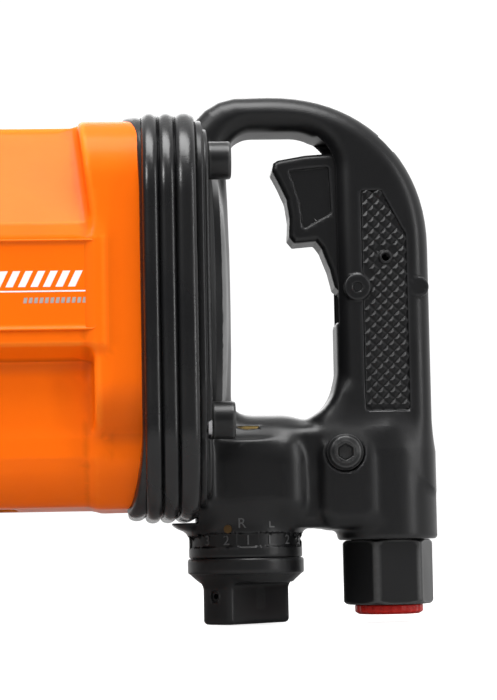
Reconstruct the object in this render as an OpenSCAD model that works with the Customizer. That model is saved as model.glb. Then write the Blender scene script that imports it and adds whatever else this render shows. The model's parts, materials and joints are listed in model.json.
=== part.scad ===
// Pneumatic impact wrench, 1 inch square drive, D-handle type, in millimetres.
// +X runs from the front face of the square drive to the rear along the motor axis, +Z is up,
// and the origin is the centre of that front face. The tool's left side faces -Y.

/* [Square drive and anvil] */
// Size of the square drive across its flats
drive_af = 25.4; // [19:0.1:25.4]
// Length of the square drive
drive_len = 32; // [28:1:36]
// Radius of the socket retaining pin hole
pin_hole_r = 3.25; // [2.5:0.05:4]
// Distance of the retaining pin hole from the front face
pin_hole_x = 16; // [12:1:20]
// Radius of the long anvil shank
shank_r = 19; // [18.2:0.1:19]
// Radius of the anvil journal in the nose bushing
journal_r = 20; // [19.6:0.1:20]

/* [Hammer case] */
// Front end of the nose
nose_x = 165; // [160:1:166]
// Rear face of the case, where it meets the motor housing
case_rear_x = 292; // [292:1:292]
// Radius of the collar that the side handle clamps on
collar_r = 36; // [34:0.5:37]
// Inner radius of the space for the twin hammers
hammer_room_r = 56; // [55:0.5:58]

/* [Motor housing] */
// Rear face of the motor housing
housing_rear_x = 445; // [445:1:445]
// Half width of the rear flange
housing_half_w = 77; // [74:0.5:78]
// Top of the rear flange above the motor axis
housing_top = 73; // [71:0.5:75]
// Bottom of the exhaust chamber below the motor axis
housing_drop = 90; // [86:0.5:92]
// Corner radius of the rear flange
housing_corner_r = 28; // [18:1:30]
// Half width of the housing in the hollow below its side faces
hollow_y = 62; // [58:0.5:66]
// Front of the rear flange, where the slanted corners and hollows end
pocket_x = 402; // [398:0.5:406]
// Radius of the bore that holds the air motor
motor_bore_r = 40; // [39:0.5:42]

/* [Fasteners] */
// Distance of the corner bolts from the middle plane
bolt_y = 57; // [55:0.5:58]
// Height of the corner bolts above and below the motor axis
bolt_z = 54.9; // [53:0.1:56]
// Nominal radius of the corner bolts
bolt_r = 5; // [4:0.5:5]
// Radius of a corner bolt's socket head
bolt_head_r = 8; // [7:0.5:8.5]

/* [Air motor] */
// Radius of the rotor body
rotor_r = 25; // [24:0.5:25.5]
// Bore radius of the cylinder liner
liner_bore_r = 31; // [31:0.5:32]
// Offset of the liner bore below the rotor axis
liner_drop = 5; // [4.5:0.1:5]
// Number of rotor blades
blade_count = 6; // [4:1:8]

/* [Bumper] */
// Front edge of the rubber bumper
bumper_x0 = 415.5; // [412:0.5:420]
// Rise of the bumper above the housing's top
bumper_rise = 6; // [5:0.2:14]
// Thickness of the bumper on the housing's sides
bumper_side = 9; // [6:0.5:11]
// Thickness of the bumper below the housing
bumper_below = 6.1; // [4:0.1:8]

/* [D-handle] */
// Width of the handle across the hand
handle_w = 34; // [30:1:38]
// Top of the handle above the motor axis
handle_top = 91.5; // [88:0.5:94]
// Rear edge of the grip
grip_rear_x = 550; // [546:1:552]
// Front edge of the grip
grip_front_x = 508.5; // [506:0.5:510]
// Front edge of the hand opening
opening_x0 = 461; // [458:0.5:463]
// Underside of the top bar
opening_top = 75.8; // [74:0.2:77]
// Top of the lower bar, below the motor axis
opening_drop = 53.4; // [50:0.2:55]

/* [Trigger] */
// Thickness of the trigger
trigger_w = 22; // [18:0.5:22]
// Trigger pivot, distance along the tool
pivot_x = 517.6; // [516:0.1:519]
// Trigger pivot, height above the motor axis
pivot_z = 5.1; // [4:0.1:6]
// Radius of the trigger pin
pivot_r = 1.9; // [1.5:0.1:2.2]

/* [Regulator] */
// Axis of the power regulator and reverse valve
reg_x = 467; // [467:0.5:468]
// Radius of the regulator boss
reg_boss_r = 24.95; // [24:0.05:26]
// Lower face of the regulator boss below the motor axis
reg_boss_drop = 112.6; // [111:0.2:114]
// Radius of the regulator knob
knob_r = 25.6; // [25:0.1:27]
// Lower end of the knob below the motor axis
knob_drop = 141.7; // [138:0.1:144]
// Angle of the knob's pointing end from the left side, at rest
knob_rest_deg = -45; // [-45:22.5:67.5]

/* [Air inlet] */
// Axis of the air inlet
inlet_x = 530; // [528:0.5:531]
// Radius of the inlet boss
inlet_boss_r = 22.1; // [21:0.1:23]
// Lower face of the inlet boss below the motor axis
inlet_boss_drop = 105.6; // [104:0.2:107]
// Size of the inlet bushing's hexagon across its flats
hex_af = 36; // [32:1:36]
// Lower end of the inlet bushing below the motor axis
hex_drop = 134.1; // [132:0.1:136]
// Radius of the threaded bore for the hose fitting
inlet_thread_r = 9.3; // [8.5:0.1:9.5]

/* [Side handle] */
// Middle of the side handle along the tool
side_x = 190; // [186:1:192]
// Radius of the side handle's rubber grip
side_grip_r = 17; // [15:0.5:19]
// Length of the side handle's rubber grip
side_grip_len = 116; // [100:2:130]

/* [Hidden] */
$fn = 64;
eps = 0.02;

// Fits: a running gap on shafts, a free gap between moving neighbours
run_gap = 0.05;
free_gap = 0.3;

// Stations along the motor axis
case_x = case_rear_x;
gasket_t = 0.6;
housing_x0 = case_x + gasket_t;
plate_x0 = 303;
liner_x0 = 321;
liner_x1 = 413;
rear_plate_x1 = 428;
backhead_x0 = housing_rear_x + gasket_t;
seat_x = 449.5;
flange_x1 = 451;
dome_x = 460.8;

// Bearings: bore radius, outer radius, width, start
front_brg = [10, 23.5, 14, 304];
rear_brg = [8.5, 20, 12, 415.5];

// Hammer mechanism
bushing_x0 = 170;
bushing_x1 = 226;
bushing_r = 25;
cage_x0 = 229.5;
cage_x1 = 285;
cage_r = 53;
cage_plate = 7.5;
hammer_pin_z = 36;
hammer_pin_r = 5;
hammer_w = 18;
hammer_ro = 44;
hammer_ri = 28;
front_hammer_x = 238.5;
rear_hammer_x = 258.5;

// Middle of the exhaust cover
cover_x = 337;

// Rear flange sections, lower edge of the main flange and the exhaust chamber
flange_drop = 67;
chamber_half_w = 66;
bumper_x1 = housing_rear_x - 0.3;

// Valve stations below the motor axis
air_z = -72;
seat_z0 = -88;
seat_z1 = -82;
bushing_top_z = -90;
screen_z = -105.4;
thread_z0 = -128;
thread_z1 = -106;
hex_turn = 8.7;
plug_rim = 4.2;
band_z0 = -107.8;
band_z1 = -101.8;
bumper_foot_z = -97;
valve_r = 15;
knob_top_z = -reg_boss_drop - free_gap;
detent_deg = 150;
detent_ring_r = 21.2;

// Points along an arc in the side view
function arc(cx, cz, r, a0, a1, n = 10) =
    [for (i = [0:n]) let (a = a0 + (a1 - a0) * i / n) [cx + r * cos(a), cz + r * sin(a)]];

// Points along a quarter of a superellipse, from its top to its rear
function sweep_back(cx, cz, a, b, p, n = 16) =
    [for (i = [0:n]) let (t = 90 * (1 - i / n))
        [cx + a * pow(cos(t), 2 / p), cz + b * pow(sin(t), 2 / p)]];

// A cylinder along the motor axis
module x_cyl(r, x0, x1) {
    translate([x0, 0, 0]) rotate([0, 90, 0]) cylinder(r = r, h = x1 - x0);
}

// A tube along the motor axis
module x_tube(ro, ri, x0, x1) {
    difference() {
        x_cyl(ro, x0, x1);
        x_cyl(ri, x0 - 1, x1 + 1);
    }
}

// A profile of [radius, x] points turned round the motor axis
module x_turned(points) {
    rotate([0, 90, 0]) rotate_extrude() polygon(points);
}

// A section in Y and Z pushed from x0 to x1
module x_push(x0, x1) {
    translate([x0, 0, 0]) rotate([90, 0, 90]) linear_extrude(x1 - x0) children();
}

// A side view in X and Z pushed to a width across the tool
module y_push(w) {
    rotate([90, 0, 0]) linear_extrude(w, center = true) children();
}

// A rectangle with round corners, given by its edges
module round_rect(y0, y1, z0, z1, r) {
    translate([y0 + r, z0]) square([y1 - y0 - 2 * r, z1 - z0]);
    translate([y0, z0 + r]) square([y1 - y0, z1 - z0 - 2 * r]);
    for (y = [y0 + r, y1 - r], z = [z0 + r, z1 - r]) translate([y, z]) circle(r = r);
}

// Copies at the four corner bolts
module at_bolts() {
    for (y = [-bolt_y, bolt_y], z = [-bolt_z, bolt_z]) translate([0, y, z]) children();
}

// A socket head cap screw along X, its head's seat at x = 0, its tip towards -X
module cap_screw(r, head_r, len) {
    difference() {
        union() {
            rotate([0, 90, 0]) cylinder(r = head_r, h = 2 * r);
            x_cyl(r, -len, eps);
        }
        translate([0.9 * r, 0, 0]) rotate([0, 90, 0]) cylinder(r = 0.93 * r, h = 2 * r, $fn = 6);
    }
}

// Half of a ball bearing's rings: a ring with its ball groove
module race(brg, outer) {
    pitch = (brg[0] + brg[1]) / 2;
    ball = (brg[1] - brg[0]) * 0.29;
    mid = brg[3] + brg[2] / 2;
    ri = outer ? pitch + 0.5 * ball : brg[0];
    ro = outer ? brg[1] : pitch - 0.5 * ball;
    rotate([0, 90, 0]) rotate_extrude() difference() {
        translate([ri, brg[3]]) square([ro - ri, brg[2]]);
        translate([pitch, mid]) circle(r = ball + free_gap);
    }
}

// The balls of a bearing in their cage
module ball_ring(brg) {
    pitch = (brg[0] + brg[1]) / 2;
    ball = (brg[1] - brg[0]) * 0.29;
    mid = brg[3] + brg[2] / 2;
    for (i = [0:7]) rotate([45 * i, 0, 0]) translate([mid, pitch, 0]) sphere(r = ball);
    x_tube(pitch + 0.3 * ball, pitch - 0.3 * ball, mid - 0.7 * ball, mid + 0.7 * ball);
}

// Rings of a helix swept with a round wire, as one closed solid
module coil(r, wire, z0, z1, turns, steps = 12, sides = 6) {
    n = turns * steps;
    points = [for (i = [0:n], k = [0:sides - 1]) let (a = 360 * i / steps, b = 360 * k / sides)
        [(r + wire * cos(b)) * cos(a), (r + wire * cos(b)) * sin(a),
            z0 + wire + (z1 - z0 - 2 * wire) * i / n + wire * sin(b)]];
    walls = [for (i = [0:n - 1], k = [0:sides - 1]) let (a = i * sides, j = (k + 1) % sides)
        [a + k, a + sides + k, a + sides + j, a + j]];
    ends = [[for (k = [0:sides - 1]) k], [for (k = [0:sides - 1]) n * sides + sides - 1 - k]];
    polyhedron(points = points, faces = concat(walls, ends), convexity = 6);
}

// ---- Motor housing and hammer case ----

// Section of the rear flange with the exhaust chamber below it
module housing_section() {
    round_rect(-housing_half_w, housing_half_w, -flange_drop, housing_top, housing_corner_r);
    chamber_section();
}

// Section of the exhaust chamber under the motor
module chamber_section() {
    round_rect(-chamber_half_w, chamber_half_w, -housing_drop, -20, 20);
}

// Section ahead of the rear flange: slanted upper corners, flat sides for the label, and a
// hollow below each of them
module barrel_section() {
    half = [[0, housing_top], [38, housing_top], [74, 27], [housing_half_w, 20],
        [housing_half_w, -24], [67, -30], [hollow_y, -38], [hollow_y, -52], [chamber_half_w, -62],
        [chamber_half_w, -72], [0, -72]];
    for (side = [0, 1]) mirror([side, 0]) polygon(half);
}

// Section of the square flanges where housing and case are bolted together
module front_section() {
    round_rect(-70, 70, -68, 70, 16);
}

module motor_housing() {
    color("darkorange") difference() {
        union() {
            x_push(housing_x0, pocket_x) barrel_section();
            x_push(pocket_x, housing_rear_x) housing_section();
            x_push(318, pocket_x + 1) chamber_section();
            x_push(housing_x0, 309) front_section();
        }
        x_cyl(motor_bore_r, plate_x0, housing_rear_x + 1);
        x_cyl(26, housing_x0 - 1, plate_x0 + 1);
        // Exhaust chamber and its way out through the floor
        x_push(326, 437) round_rect(-52, 52, -83, -58, 8);
        translate([348, 0, -62]) cylinder(r = 14, h = 40);
        translate([cover_x - 9, -26, -91]) cube([18, 52, 12]);
        // Threaded holes for the corner bolts, and for the exhaust cover
        at_bolts() x_cyl(bolt_r, pocket_x + 1, housing_rear_x + 1);
        at_bolts() x_cyl(bolt_r, housing_x0 - 1, 311);
        at_cover_screws(-91) cylinder(r = 2, h = 10);
    }
}

module hammer_case() {
    color("silver") difference() {
        union() {
            x_turned([[20, nose_x], [33, nose_x], [collar_r - 1, nose_x + 3], [collar_r - 1, 172],
                [collar_r, 174], [collar_r, 205], [collar_r + 3, 208], [collar_r + 10, 214],
                [58, 221], [62.5, 229], [64, 238], [64, 280], [67, case_x], [20, case_x]]);
            x_push(278, case_x) front_section();
            // Seat of the hanging eye and boss of the grease nipple
            translate([262, 0, 60]) cylinder(r = 15, h = 9);
            translate([250, 60, 0]) rotate([-90, 0, 0]) cylinder(r = 8, h = 7);
        }
        x_cyl(bushing_r, nose_x - 1, bushing_x1 + 1);
        x_cyl(hammer_room_r, bushing_x1, case_x + 1);
        at_bolts() x_cyl(bolt_r + 0.25, 270, case_x + 1);
        // Flats for the heads of the flange bolts
        at_bolts() x_cyl(bolt_head_r + 1.5, 262, 279);
        translate([262, 0, 59]) cylinder(r = 5, h = 20);
        translate([250, 50, 0]) rotate([-90, 0, 0]) cylinder(r = 3, h = 30);
    }
}

module case_gasket() {
    color("dimgray") x_push(case_x, housing_x0) difference() {
        front_section();
        circle(r = hammer_room_r);
        for (y = [-bolt_y, bolt_y], z = [-bolt_z, bolt_z]) translate([y, z]) circle(r = bolt_r + 0.25);
    }
}

module nose_bushing() {
    color("peru") x_tube(bushing_r, journal_r + run_gap, bushing_x0, bushing_x1);
}

module front_oil_seal() {
    color("black") x_tube(bushing_r, shank_r + free_gap, nose_x + 0.5, bushing_x0);
}

module housing_bolts() {
    color("gray") at_bolts() translate([277.2, 0, 0]) mirror([1, 0, 0])
        cap_screw(bolt_r, bolt_head_r, 32);
}

module housing_bolt_washers() {
    color("gray") at_bolts() x_tube(bolt_head_r + 0.5, bolt_r + 0.2, 277.2, 279);
}

module grease_nipple() {
    color("gold") translate([250, 60, 0]) rotate([-90, 0, 0]) {
        cylinder(r = 3, h = 7);
        translate([0, 0, 7]) cylinder(r = 4.6, h = 4, $fn = 6);
        translate([0, 0, 10.5]) cylinder(r1 = 3, r2 = 2, h = 3);
        translate([0, 0, 14.5]) sphere(r = 2.6);
    }
}

module hanger_eye() {
    color("gray") translate([262, 0, 0]) difference() {
        union() {
            translate([0, 0, 60]) cylinder(r = 5, h = 12);
            translate([0, 0, 69]) cylinder(r = 13, h = 5);
            translate([0, 0, 88]) rotate([90, 0, 0]) cylinder(r = 15, h = 10, center = true);
            translate([-9, -5, 72]) cube([18, 10, 10]);
        }
        translate([0, 0, 88]) rotate([90, 0, 0]) cylinder(r = 9, h = 20, center = true);
    }
}

// ---- Air motor ----

module front_end_plate() {
    color("lightsteelblue") difference() {
        x_cyl(motor_bore_r, plate_x0, liner_x0);
        x_cyl(front_brg[1], plate_x0 - 1, front_brg[3] + front_brg[2]);
        x_cyl(front_brg[0] + 1, plate_x0, liner_x0 + 1);
        translate([310, 0, 33]) rotate([0, 90, 0]) cylinder(r = 2, h = 20);
    }
}

module rear_end_plate() {
    color("lightsteelblue") difference() {
        x_cyl(motor_bore_r, liner_x1, rear_plate_x1);
        x_cyl(rear_brg[1], rear_brg[3], rear_plate_x1 + 1);
        x_cyl(rear_brg[0] + 0.8, liner_x1 - 1, rear_plate_x1);
        translate([405, 0, 33]) rotate([0, 90, 0]) cylinder(r = 2, h = 15);
    }
}

module cylinder_liner() {
    color("slategray") difference() {
        x_cyl(motor_bore_r, liner_x0, liner_x1);
        translate([0, 0, -liner_drop]) x_cyl(liner_bore_r, liner_x0 - 1, liner_x1 + 1);
        translate([0, 0, 33]) x_cyl(2, liner_x0 - 1, liner_x1 + 1);
        // Exhaust ports, low in the wall
        for (x = [336, 348, 360], a = [-16, 16])
            translate([x, 0, -5]) rotate([a, 0, 0]) translate([0, 0, -45]) cylinder(r = 4, h = 30);
    }
}

module liner_dowel() {
    color("silver") translate([0, 0, 33]) x_cyl(2, 311, 419);
}

module rotor_seal() {
    color("black") x_tube(26, front_brg[0] + free_gap, 296, plate_x0);
}

module front_bearing_outer_race() {
    color("silver") race(front_brg, true);
}

module front_bearing_inner_race() {
    color("silver") race(front_brg, false);
}

module front_bearing_balls() {
    color("gainsboro") ball_ring(front_brg);
}

module rear_bearing_outer_race() {
    color("silver") race(rear_brg, true);
}

module rear_bearing_inner_race() {
    color("silver") race(rear_brg, false);
}

module rear_bearing_balls() {
    color("gainsboro") ball_ring(rear_brg);
}

module rotor() {
    color("gray") difference() {
        union() {
            x_cyl(8.5, 277, 296);
            for (i = [0:5]) rotate([60 * i, 0, 0]) translate([277, -1.5, 0]) cube([17, 3, 10]);
            x_cyl(front_brg[0], 296 - eps, liner_x0 + 1);
            x_cyl(rotor_r, liner_x0 + free_gap, liner_x1 - free_gap);
            x_cyl(rear_brg[0], liner_x1 - 1, 430);
        }
        for (i = [0:blade_count - 1]) rotate([360 / blade_count * (i + 0.5), 0, 0])
            translate([liner_x0, -1.6, 12]) cube([100, 3.2, 20]);
    }
}

module rotor_blades() {
    color("saddlebrown") for (i = [0:blade_count - 1]) rotate([360 / blade_count * (i + 0.5), 0, 0])
        translate([liner_x0 + 0.6, -1.5, 12.2]) cube([liner_x1 - liner_x0 - 1.2, 3, 12.5]);
}

// ---- Twin hammer mechanism ----

module hammer_cage() {
    color("dimgray") difference() {
        union() {
            x_tube(cage_r, journal_r + free_gap, cage_x0, cage_x0 + cage_plate);
            x_tube(cage_r, 11, cage_x1 - cage_plate, cage_x1);
            // Webs that join the two plates on each side
            intersection() {
                x_tube(cage_r, 49, cage_x0, cage_x1);
                translate([(cage_x0 + cage_x1) / 2, 0, 0]) cube([80, 120, 44], center = true);
            }
            // Internal splines between the teeth of the rotor
            for (i = [0:5]) rotate([60 * i + 30, 0, 0])
                translate([cage_x1 - cage_plate, -1.6, 8.7]) cube([cage_plate, 3.2, 4]);
        }
        for (z = [-hammer_pin_z, hammer_pin_z])
            translate([0, 0, z]) x_cyl(hammer_pin_r, cage_x0 - 1, cage_x1 + 1);
    }
}

module hammer_pins() {
    color("silver") for (z = [-hammer_pin_z, hammer_pin_z])
        translate([0, 0, z]) x_cyl(hammer_pin_r, cage_x0, cage_x1);
}

// One ring-shaped hammer, hung on the upper pin, with a slot for the lower one and an inner dog
module hammer(x0) {
    x_push(x0, x0 + hammer_w) difference() {
        union() {
            difference() {
                circle(r = hammer_ro);
                circle(r = hammer_ri);
            }
            translate([-5, 20.5]) square([10, 9]);
        }
        translate([0, hammer_pin_z]) circle(r = hammer_pin_r + run_gap);
        for (y = [-6.8, 6.8]) translate([y, -hammer_pin_z]) circle(r = hammer_pin_r + 0.6);
        translate([0, -hammer_pin_z]) square([13.6, 2 * hammer_pin_r + 1.2], center = true);
    }
}

module front_hammer() {
    color("slategray") hammer(front_hammer_x);
}

module rear_hammer() {
    color("slategray") mirror([0, 0, 1]) hammer(rear_hammer_x);
}

// Ear of the anvil that a hammer's dog drives, on one side of its core
module anvil_ear(x0, side) {
    intersection() {
        x_cyl(24, x0, x0 + hammer_w);
        translate([x0 - 1, side > 0 ? 0 : -30, -11]) cube([30, 30, 22]);
    }
}

module anvil() {
    color("darkgray") difference() {
        union() {
            intersection() {
                translate([0, -drive_af / 2, -drive_af / 2]) cube([drive_len + 2, drive_af, drive_af]);
                x_turned([[0, 0], [drive_af * 0.6, 0], [drive_af * 0.66, 2],
                    [drive_af * 0.66, drive_len + 2], [0, drive_len + 2]]);
            }
            x_turned([[0, drive_len], [15.5, drive_len], [shank_r, drive_len + 3.5],
                [shank_r, bushing_x0 + 1], [journal_r, bushing_x0 + 2], [journal_r, 237.8],
                [17, 237.8], [17, 276.4], [0, 276.4]]);
            anvil_ear(front_hammer_x, 1);
            anvil_ear(rear_hammer_x, -1);
        }
        translate([pin_hole_x, 0, 0]) cylinder(r = pin_hole_r, h = 40, center = true);
    }
}

module anvil_thrust_washer() {
    color("peru") x_tube(34, journal_r + free_gap, bushing_x1 + 0.5, cage_x0 - 0.5);
}

// ---- Backhead with the D-handle ----

// Side view of the D-handle's top bar and grip
module handle_outline() {
    polygon(concat([[447, -70], [447, 80.5], [452, 85.8], [458, 89.4], [465, 91.2]],
        sweep_back(480, 23, grip_rear_x - 480, handle_top - 23, 2.15), [[grip_rear_x, -70]]));
}

// Side view of the hand opening
module opening_outline() {
    polygon(concat(
        arc(opening_x0 + 12, -opening_drop + 12, 12, 180, 270),
        arc(grip_front_x - 20, -opening_drop + 20, 20, 270, 360),
        arc(grip_front_x - 18, opening_top - 18, 18, 0, 90),
        arc(opening_x0 + 12, opening_top - 12, 12, 90, 180)));
}

module backhead() {
    color([0.15, 0.15, 0.16]) difference() {
        union() {
            x_push(backhead_x0, flange_x1) housing_section();
            x_cyl(motor_bore_r, rear_plate_x1, backhead_x0 + 1);
            x_turned([[0, flange_x1 - 1], [66, flange_x1 - 1], [64, 453.5], [58, 456.6], [46, 458.8],
                [24, 460.3], [0, dome_x]]);
            difference() {
                y_push(handle_w) handle_outline();
                y_push(handle_w + 2) opening_outline();
            }
            // Lower bar with the bulge round the air way and the flat block behind it
            translate([backhead_x0, -20, -100]) cube([52, 40, 46]);
            translate([495, -24, -101]) cube([26, 48, 46]);
            translate([495 - 4, -20, -100]) cube([40, 40, 46]);
            difference() {
                regulator_boss();
                translate([430, -40, bumper_foot_z]) cube([backhead_x0 - 430, 80, 56]);
            }
            translate([inlet_x, 0, -inlet_boss_drop]) cylinder(r = inlet_boss_r, h = 40);
            translate([inlet_x, 0, -inlet_boss_drop + 40])
                cylinder(r1 = inlet_boss_r, r2 = handle_w / 2 - 0.5, h = 18);
            // Bosses of the trigger pin
            translate([pivot_x, 0, pivot_z]) rotate([90, 0, 0])
                cylinder(r = 6, h = handle_w + 1.6, center = true);
        }
        handle_bores();
        valve_bores();
        at_bolts() x_cyl(bolt_r + 0.25, backhead_x0 - 1, flange_x1 + 5);
        at_bolts() x_cyl(bolt_head_r + 1, seat_x, flange_x1 + 15);
        // Pocket behind the rear bearing
        x_cyl(21, rear_plate_x1 - 1, rear_plate_x1 + 8);
    }
}

// Round boss of the regulator, with a sunken band for its numbers
module regulator_boss() {
    translate([reg_x, 0, 0]) rotate_extrude() polygon([[0, -reg_boss_drop],
        [reg_boss_r, -reg_boss_drop], [reg_boss_r, band_z0], [reg_boss_r - 0.7, band_z0],
        [reg_boss_r - 0.7, band_z1], [reg_boss_r, band_z1], [reg_boss_r, -62], [0, -62]]);
}

// Slot, pin hole and rod bore in the grip
module handle_bores() {
    slot_w = trigger_w + 1;
    translate([grip_front_x - 14, -slot_w / 2, -9.8]) cube([41, slot_w, 83]);
    translate([pivot_x, 0, pivot_z]) rotate([90, 0, 0]) cylinder(r = pivot_r, h = 60, center = true);
    translate([inlet_x, 0, -80]) cylinder(r = 2.4 + run_gap, h = 75);
    translate([inlet_x, 0, -40]) cylinder(r = 5, h = 4);
    // Small cross hole above the pin
    translate([530.5, 0, 18.2]) rotate([90, 0, 0]) cylinder(r = 1.7, h = 60, center = true);
}

// Air ways and valve bores in the lower bar
module valve_bores() {
    translate([reg_x, 0, -reg_boss_drop - 1]) cylinder(r = valve_r + 3.5, h = 58);
    translate([inlet_x, 0, -inlet_boss_drop - 1]) cylinder(r = 16, h = inlet_boss_drop + 1 + seat_z0);
    translate([inlet_x, 0, seat_z0 - 1]) cylinder(r = 13, h = seat_z1 - seat_z0 + 1);
    translate([inlet_x, 0, seat_z1 - 1]) cylinder(r = 10, h = 21);
    translate([435, 0, air_z]) rotate([0, 90, 0]) cylinder(r = 8, h = inlet_x - 435);
    // Filler of the oil reservoir, from the left side
    translate([510, -30, -67.6]) rotate([-90, 0, 0]) cylinder(r = 8.65, h = 7.6);
    translate([510, -30, -67.6]) rotate([-90, 0, 0]) cylinder(r = 5, h = 19);
    // Detent bore and the seat of the pointer pin
    rotate_about_regulator(detent_deg) translate([0, -detent_ring_r, -reg_boss_drop - 1])
        cylinder(r = 2.5, h = 13);
    rotate_about_regulator(-20) translate([0, -reg_boss_r + 4, -100]) rotate([90, 0, 0])
        cylinder(r = 1.8, h = 10);
}

// Turns its children from the left side round the regulator's axis
module rotate_about_regulator(deg) {
    translate([reg_x, 0, 0]) rotate([0, 0, deg]) children();
}

module backhead_gasket() {
    color("dimgray") x_push(housing_rear_x, backhead_x0) difference() {
        housing_section();
        circle(r = motor_bore_r);
        for (y = [-bolt_y, bolt_y], z = [-bolt_z, bolt_z]) translate([y, z]) circle(r = bolt_r + 0.25);
    }
}

module backhead_bolts() {
    color([0.2, 0.2, 0.2]) at_bolts() translate([flange_x1, 0, 0])
        cap_screw(bolt_r, bolt_head_r, 42);
}

module backhead_washers() {
    color("gray") at_bolts() x_tube(bolt_head_r, bolt_r + 0.2, seat_x, flange_x1);
}

module rubber_bumper() {
    color([0.12, 0.12, 0.12]) difference() {
        x_push(bumper_x0, bumper_x1) bumper_section(0);
        x_push(bumper_x0 - 1, bumper_x1 + 1) housing_section();
        for (x = [423.3, 430.2, 437.1]) x_push(x, x + 1.6) difference() {
            bumper_section(5);
            bumper_section(-2.5);
        }
    }
}

// Outer section of the bumper, grown or shrunk all round
module bumper_section(grow) {
    round_rect(-housing_half_w - bumper_side - grow, housing_half_w + bumper_side + grow,
        -housing_drop - bumper_below - grow, housing_top + bumper_rise + grow,
        housing_corner_r + 10 + grow);
}

// ---- Trigger and throttle ----

module trigger() {
    color([0.2, 0.2, 0.21]) difference() {
        union() {
            y_push(trigger_w) polygon([[482, 61.8], [484, 63.1], [496, 65.2], [514, 66.4],
                [515.5, 40], [513.5, 18], [511, 3.5], [508.3, 5.9], [506.3, 14], [502.8, 23.2],
                [500.3, 26.5], [490.8, 25.7], [488.4, 28.6], [488.8, 37], [487.6, 45.5],
                [484.4, 52.8], [481.4, 58.6]]);
            translate([pivot_x, 0, pivot_z]) rotate([90, 0, 0])
                cylinder(r = 6.6, h = trigger_w, center = true);
            // Arm behind the pin that pushes the throttle rod down
            translate([pivot_x - 1, -4, 0]) cube([inlet_x - pivot_x + 3.4, 8, 7]);
        }
        translate([pivot_x, 0, pivot_z]) rotate([90, 0, 0])
            cylinder(r = pivot_r + run_gap, h = 40, center = true);
    }
}

module trigger_pin() {
    color("gray") translate([pivot_x, 0, pivot_z]) rotate([90, 0, 0])
        cylinder(r = pivot_r, h = handle_w + 1.2, center = true);
}

module throttle_rod() {
    color("silver") translate([inlet_x, 0, seat_z0]) cylinder(r = 2.4, h = -seat_z0 - free_gap);
}

module throttle_rod_seal() {
    color("black") translate([inlet_x, 0, -39.4]) rotate_extrude() translate([3.8, 1.4])
        circle(r = 1.05);
}

module throttle_valve() {
    color("darkgreen") translate([inlet_x, 0, 0]) {
        translate([0, 0, -93]) cylinder(r = 9, h = 4.7);
        translate([0, 0, -96]) cylinder(r = 4, h = 4);
        difference() {
            translate([0, 0, seat_z0 - 1]) cylinder(r = 4.6, h = 8);
            translate([0, 0, seat_z0]) cylinder(r = 2.4, h = 8);
        }
    }
}

module throttle_seat() {
    color("gold") translate([inlet_x, 0, seat_z0]) difference() {
        cylinder(r = 13, h = seat_z1 - seat_z0);
        translate([0, 0, -1]) cylinder(r = 6.5, h = 10);
    }
}

module throttle_spring() {
    color("silver") translate([inlet_x, 0, 0]) coil(6, 0.7, -103.8, -93.3, 4);
}

// ---- Air inlet ----

module inlet_bushing() {
    color([0.2, 0.2, 0.2]) translate([inlet_x, 0, 0]) difference() {
        union() {
            intersection() {
                rotate([0, 0, hex_turn]) translate([0, 0, -hex_drop])
                    cylinder(r = hex_af / sqrt(3), h = hex_drop - inlet_boss_drop, $fn = 6);
                translate([0, 0, -hex_drop]) hex_chamfer(hex_drop - inlet_boss_drop);
            }
            translate([0, 0, -inlet_boss_drop - eps]) cylinder(r = 16,
                h = inlet_boss_drop + bushing_top_z);
        }
        translate([0, 0, -hex_drop - 1]) cylinder(r = 11, h = hex_drop + 1 + thread_z0);
        translate([0, 0, thread_z0 - 1]) cylinder(r = inlet_thread_r, h = thread_z1 - thread_z0 + 2);
        translate([0, 0, thread_z1]) cylinder(r = 12, h = 20);
    }
}

// Turned shape that breaks the corners of a hexagon at both ends
module hex_chamfer(h) {
    rotate_extrude() polygon([[0, 0], [hex_af / 2 + 0.4, 0], [hex_af / sqrt(3), 1.6],
        [hex_af / sqrt(3), h - 1.6], [hex_af / 2 + 0.4, h], [0, h]]);
}

module inlet_screen() {
    color("silver") translate([inlet_x, 0, screen_z]) difference() {
        cylinder(r = 11.9, h = 1.2);
        for (i = [0:5]) rotate([0, 0, 60 * i]) translate([6.6, 0, -1]) cylinder(r = 1.6, h = 4);
        translate([0, 0, -1]) cylinder(r = 1.6, h = 4);
    }
}

module dust_plug() {
    color("firebrick") translate([inlet_x, 0, 0]) {
        translate([0, 0, -hex_drop - 1]) cylinder(r = 10.6, h = 6.6);
        translate([0, 0, -hex_drop - plug_rim]) rotate_extrude() polygon(concat(
            [[0, 0]], arc(13.4, 1.7, 1.7, 270, 360, 6), [[15.1, plug_rim], [0, plug_rim]]));
    }
}

module oil_plug() {
    color([0.25, 0.25, 0.25]) translate([510, 0, -67.6]) rotate([90, 0, 0]) difference() {
        union() {
            translate([0, 0, 12]) cylinder(r = 4.9, h = 11);
            translate([0, 0, 22.8]) rotate_extrude() polygon([[0, 0], [7.9, 0], [7.9, 0.9],
                [6.6, 2.5], [4.6, 3.3], [0, 3.3]]);
        }
        translate([0, 0, 23.4]) cylinder(r = 4, h = 5, $fn = 6);
    }
}

module oil_plug_seal() {
    color("black") translate([510, -22.4, -67.6]) rotate([90, 0, 0]) difference() {
        cylinder(r = 7.4, h = 0.4);
        translate([0, 0, -1]) cylinder(r = 5, h = 3);
    }
}

// ---- Regulator and reverse valve ----

module reverse_valve_bushing() {
    color("gold") translate([reg_x, 0, 0]) difference() {
        translate([0, 0, -reg_boss_drop]) cylinder(r = valve_r + 3.5, h = 57);
        translate([0, 0, -reg_boss_drop - 1]) cylinder(r = valve_r + run_gap, h = 60);
        translate([0, 0, air_z]) rotate([0, 90, 0]) cylinder(r = 6, h = 60, center = true);
    }
}

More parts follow.
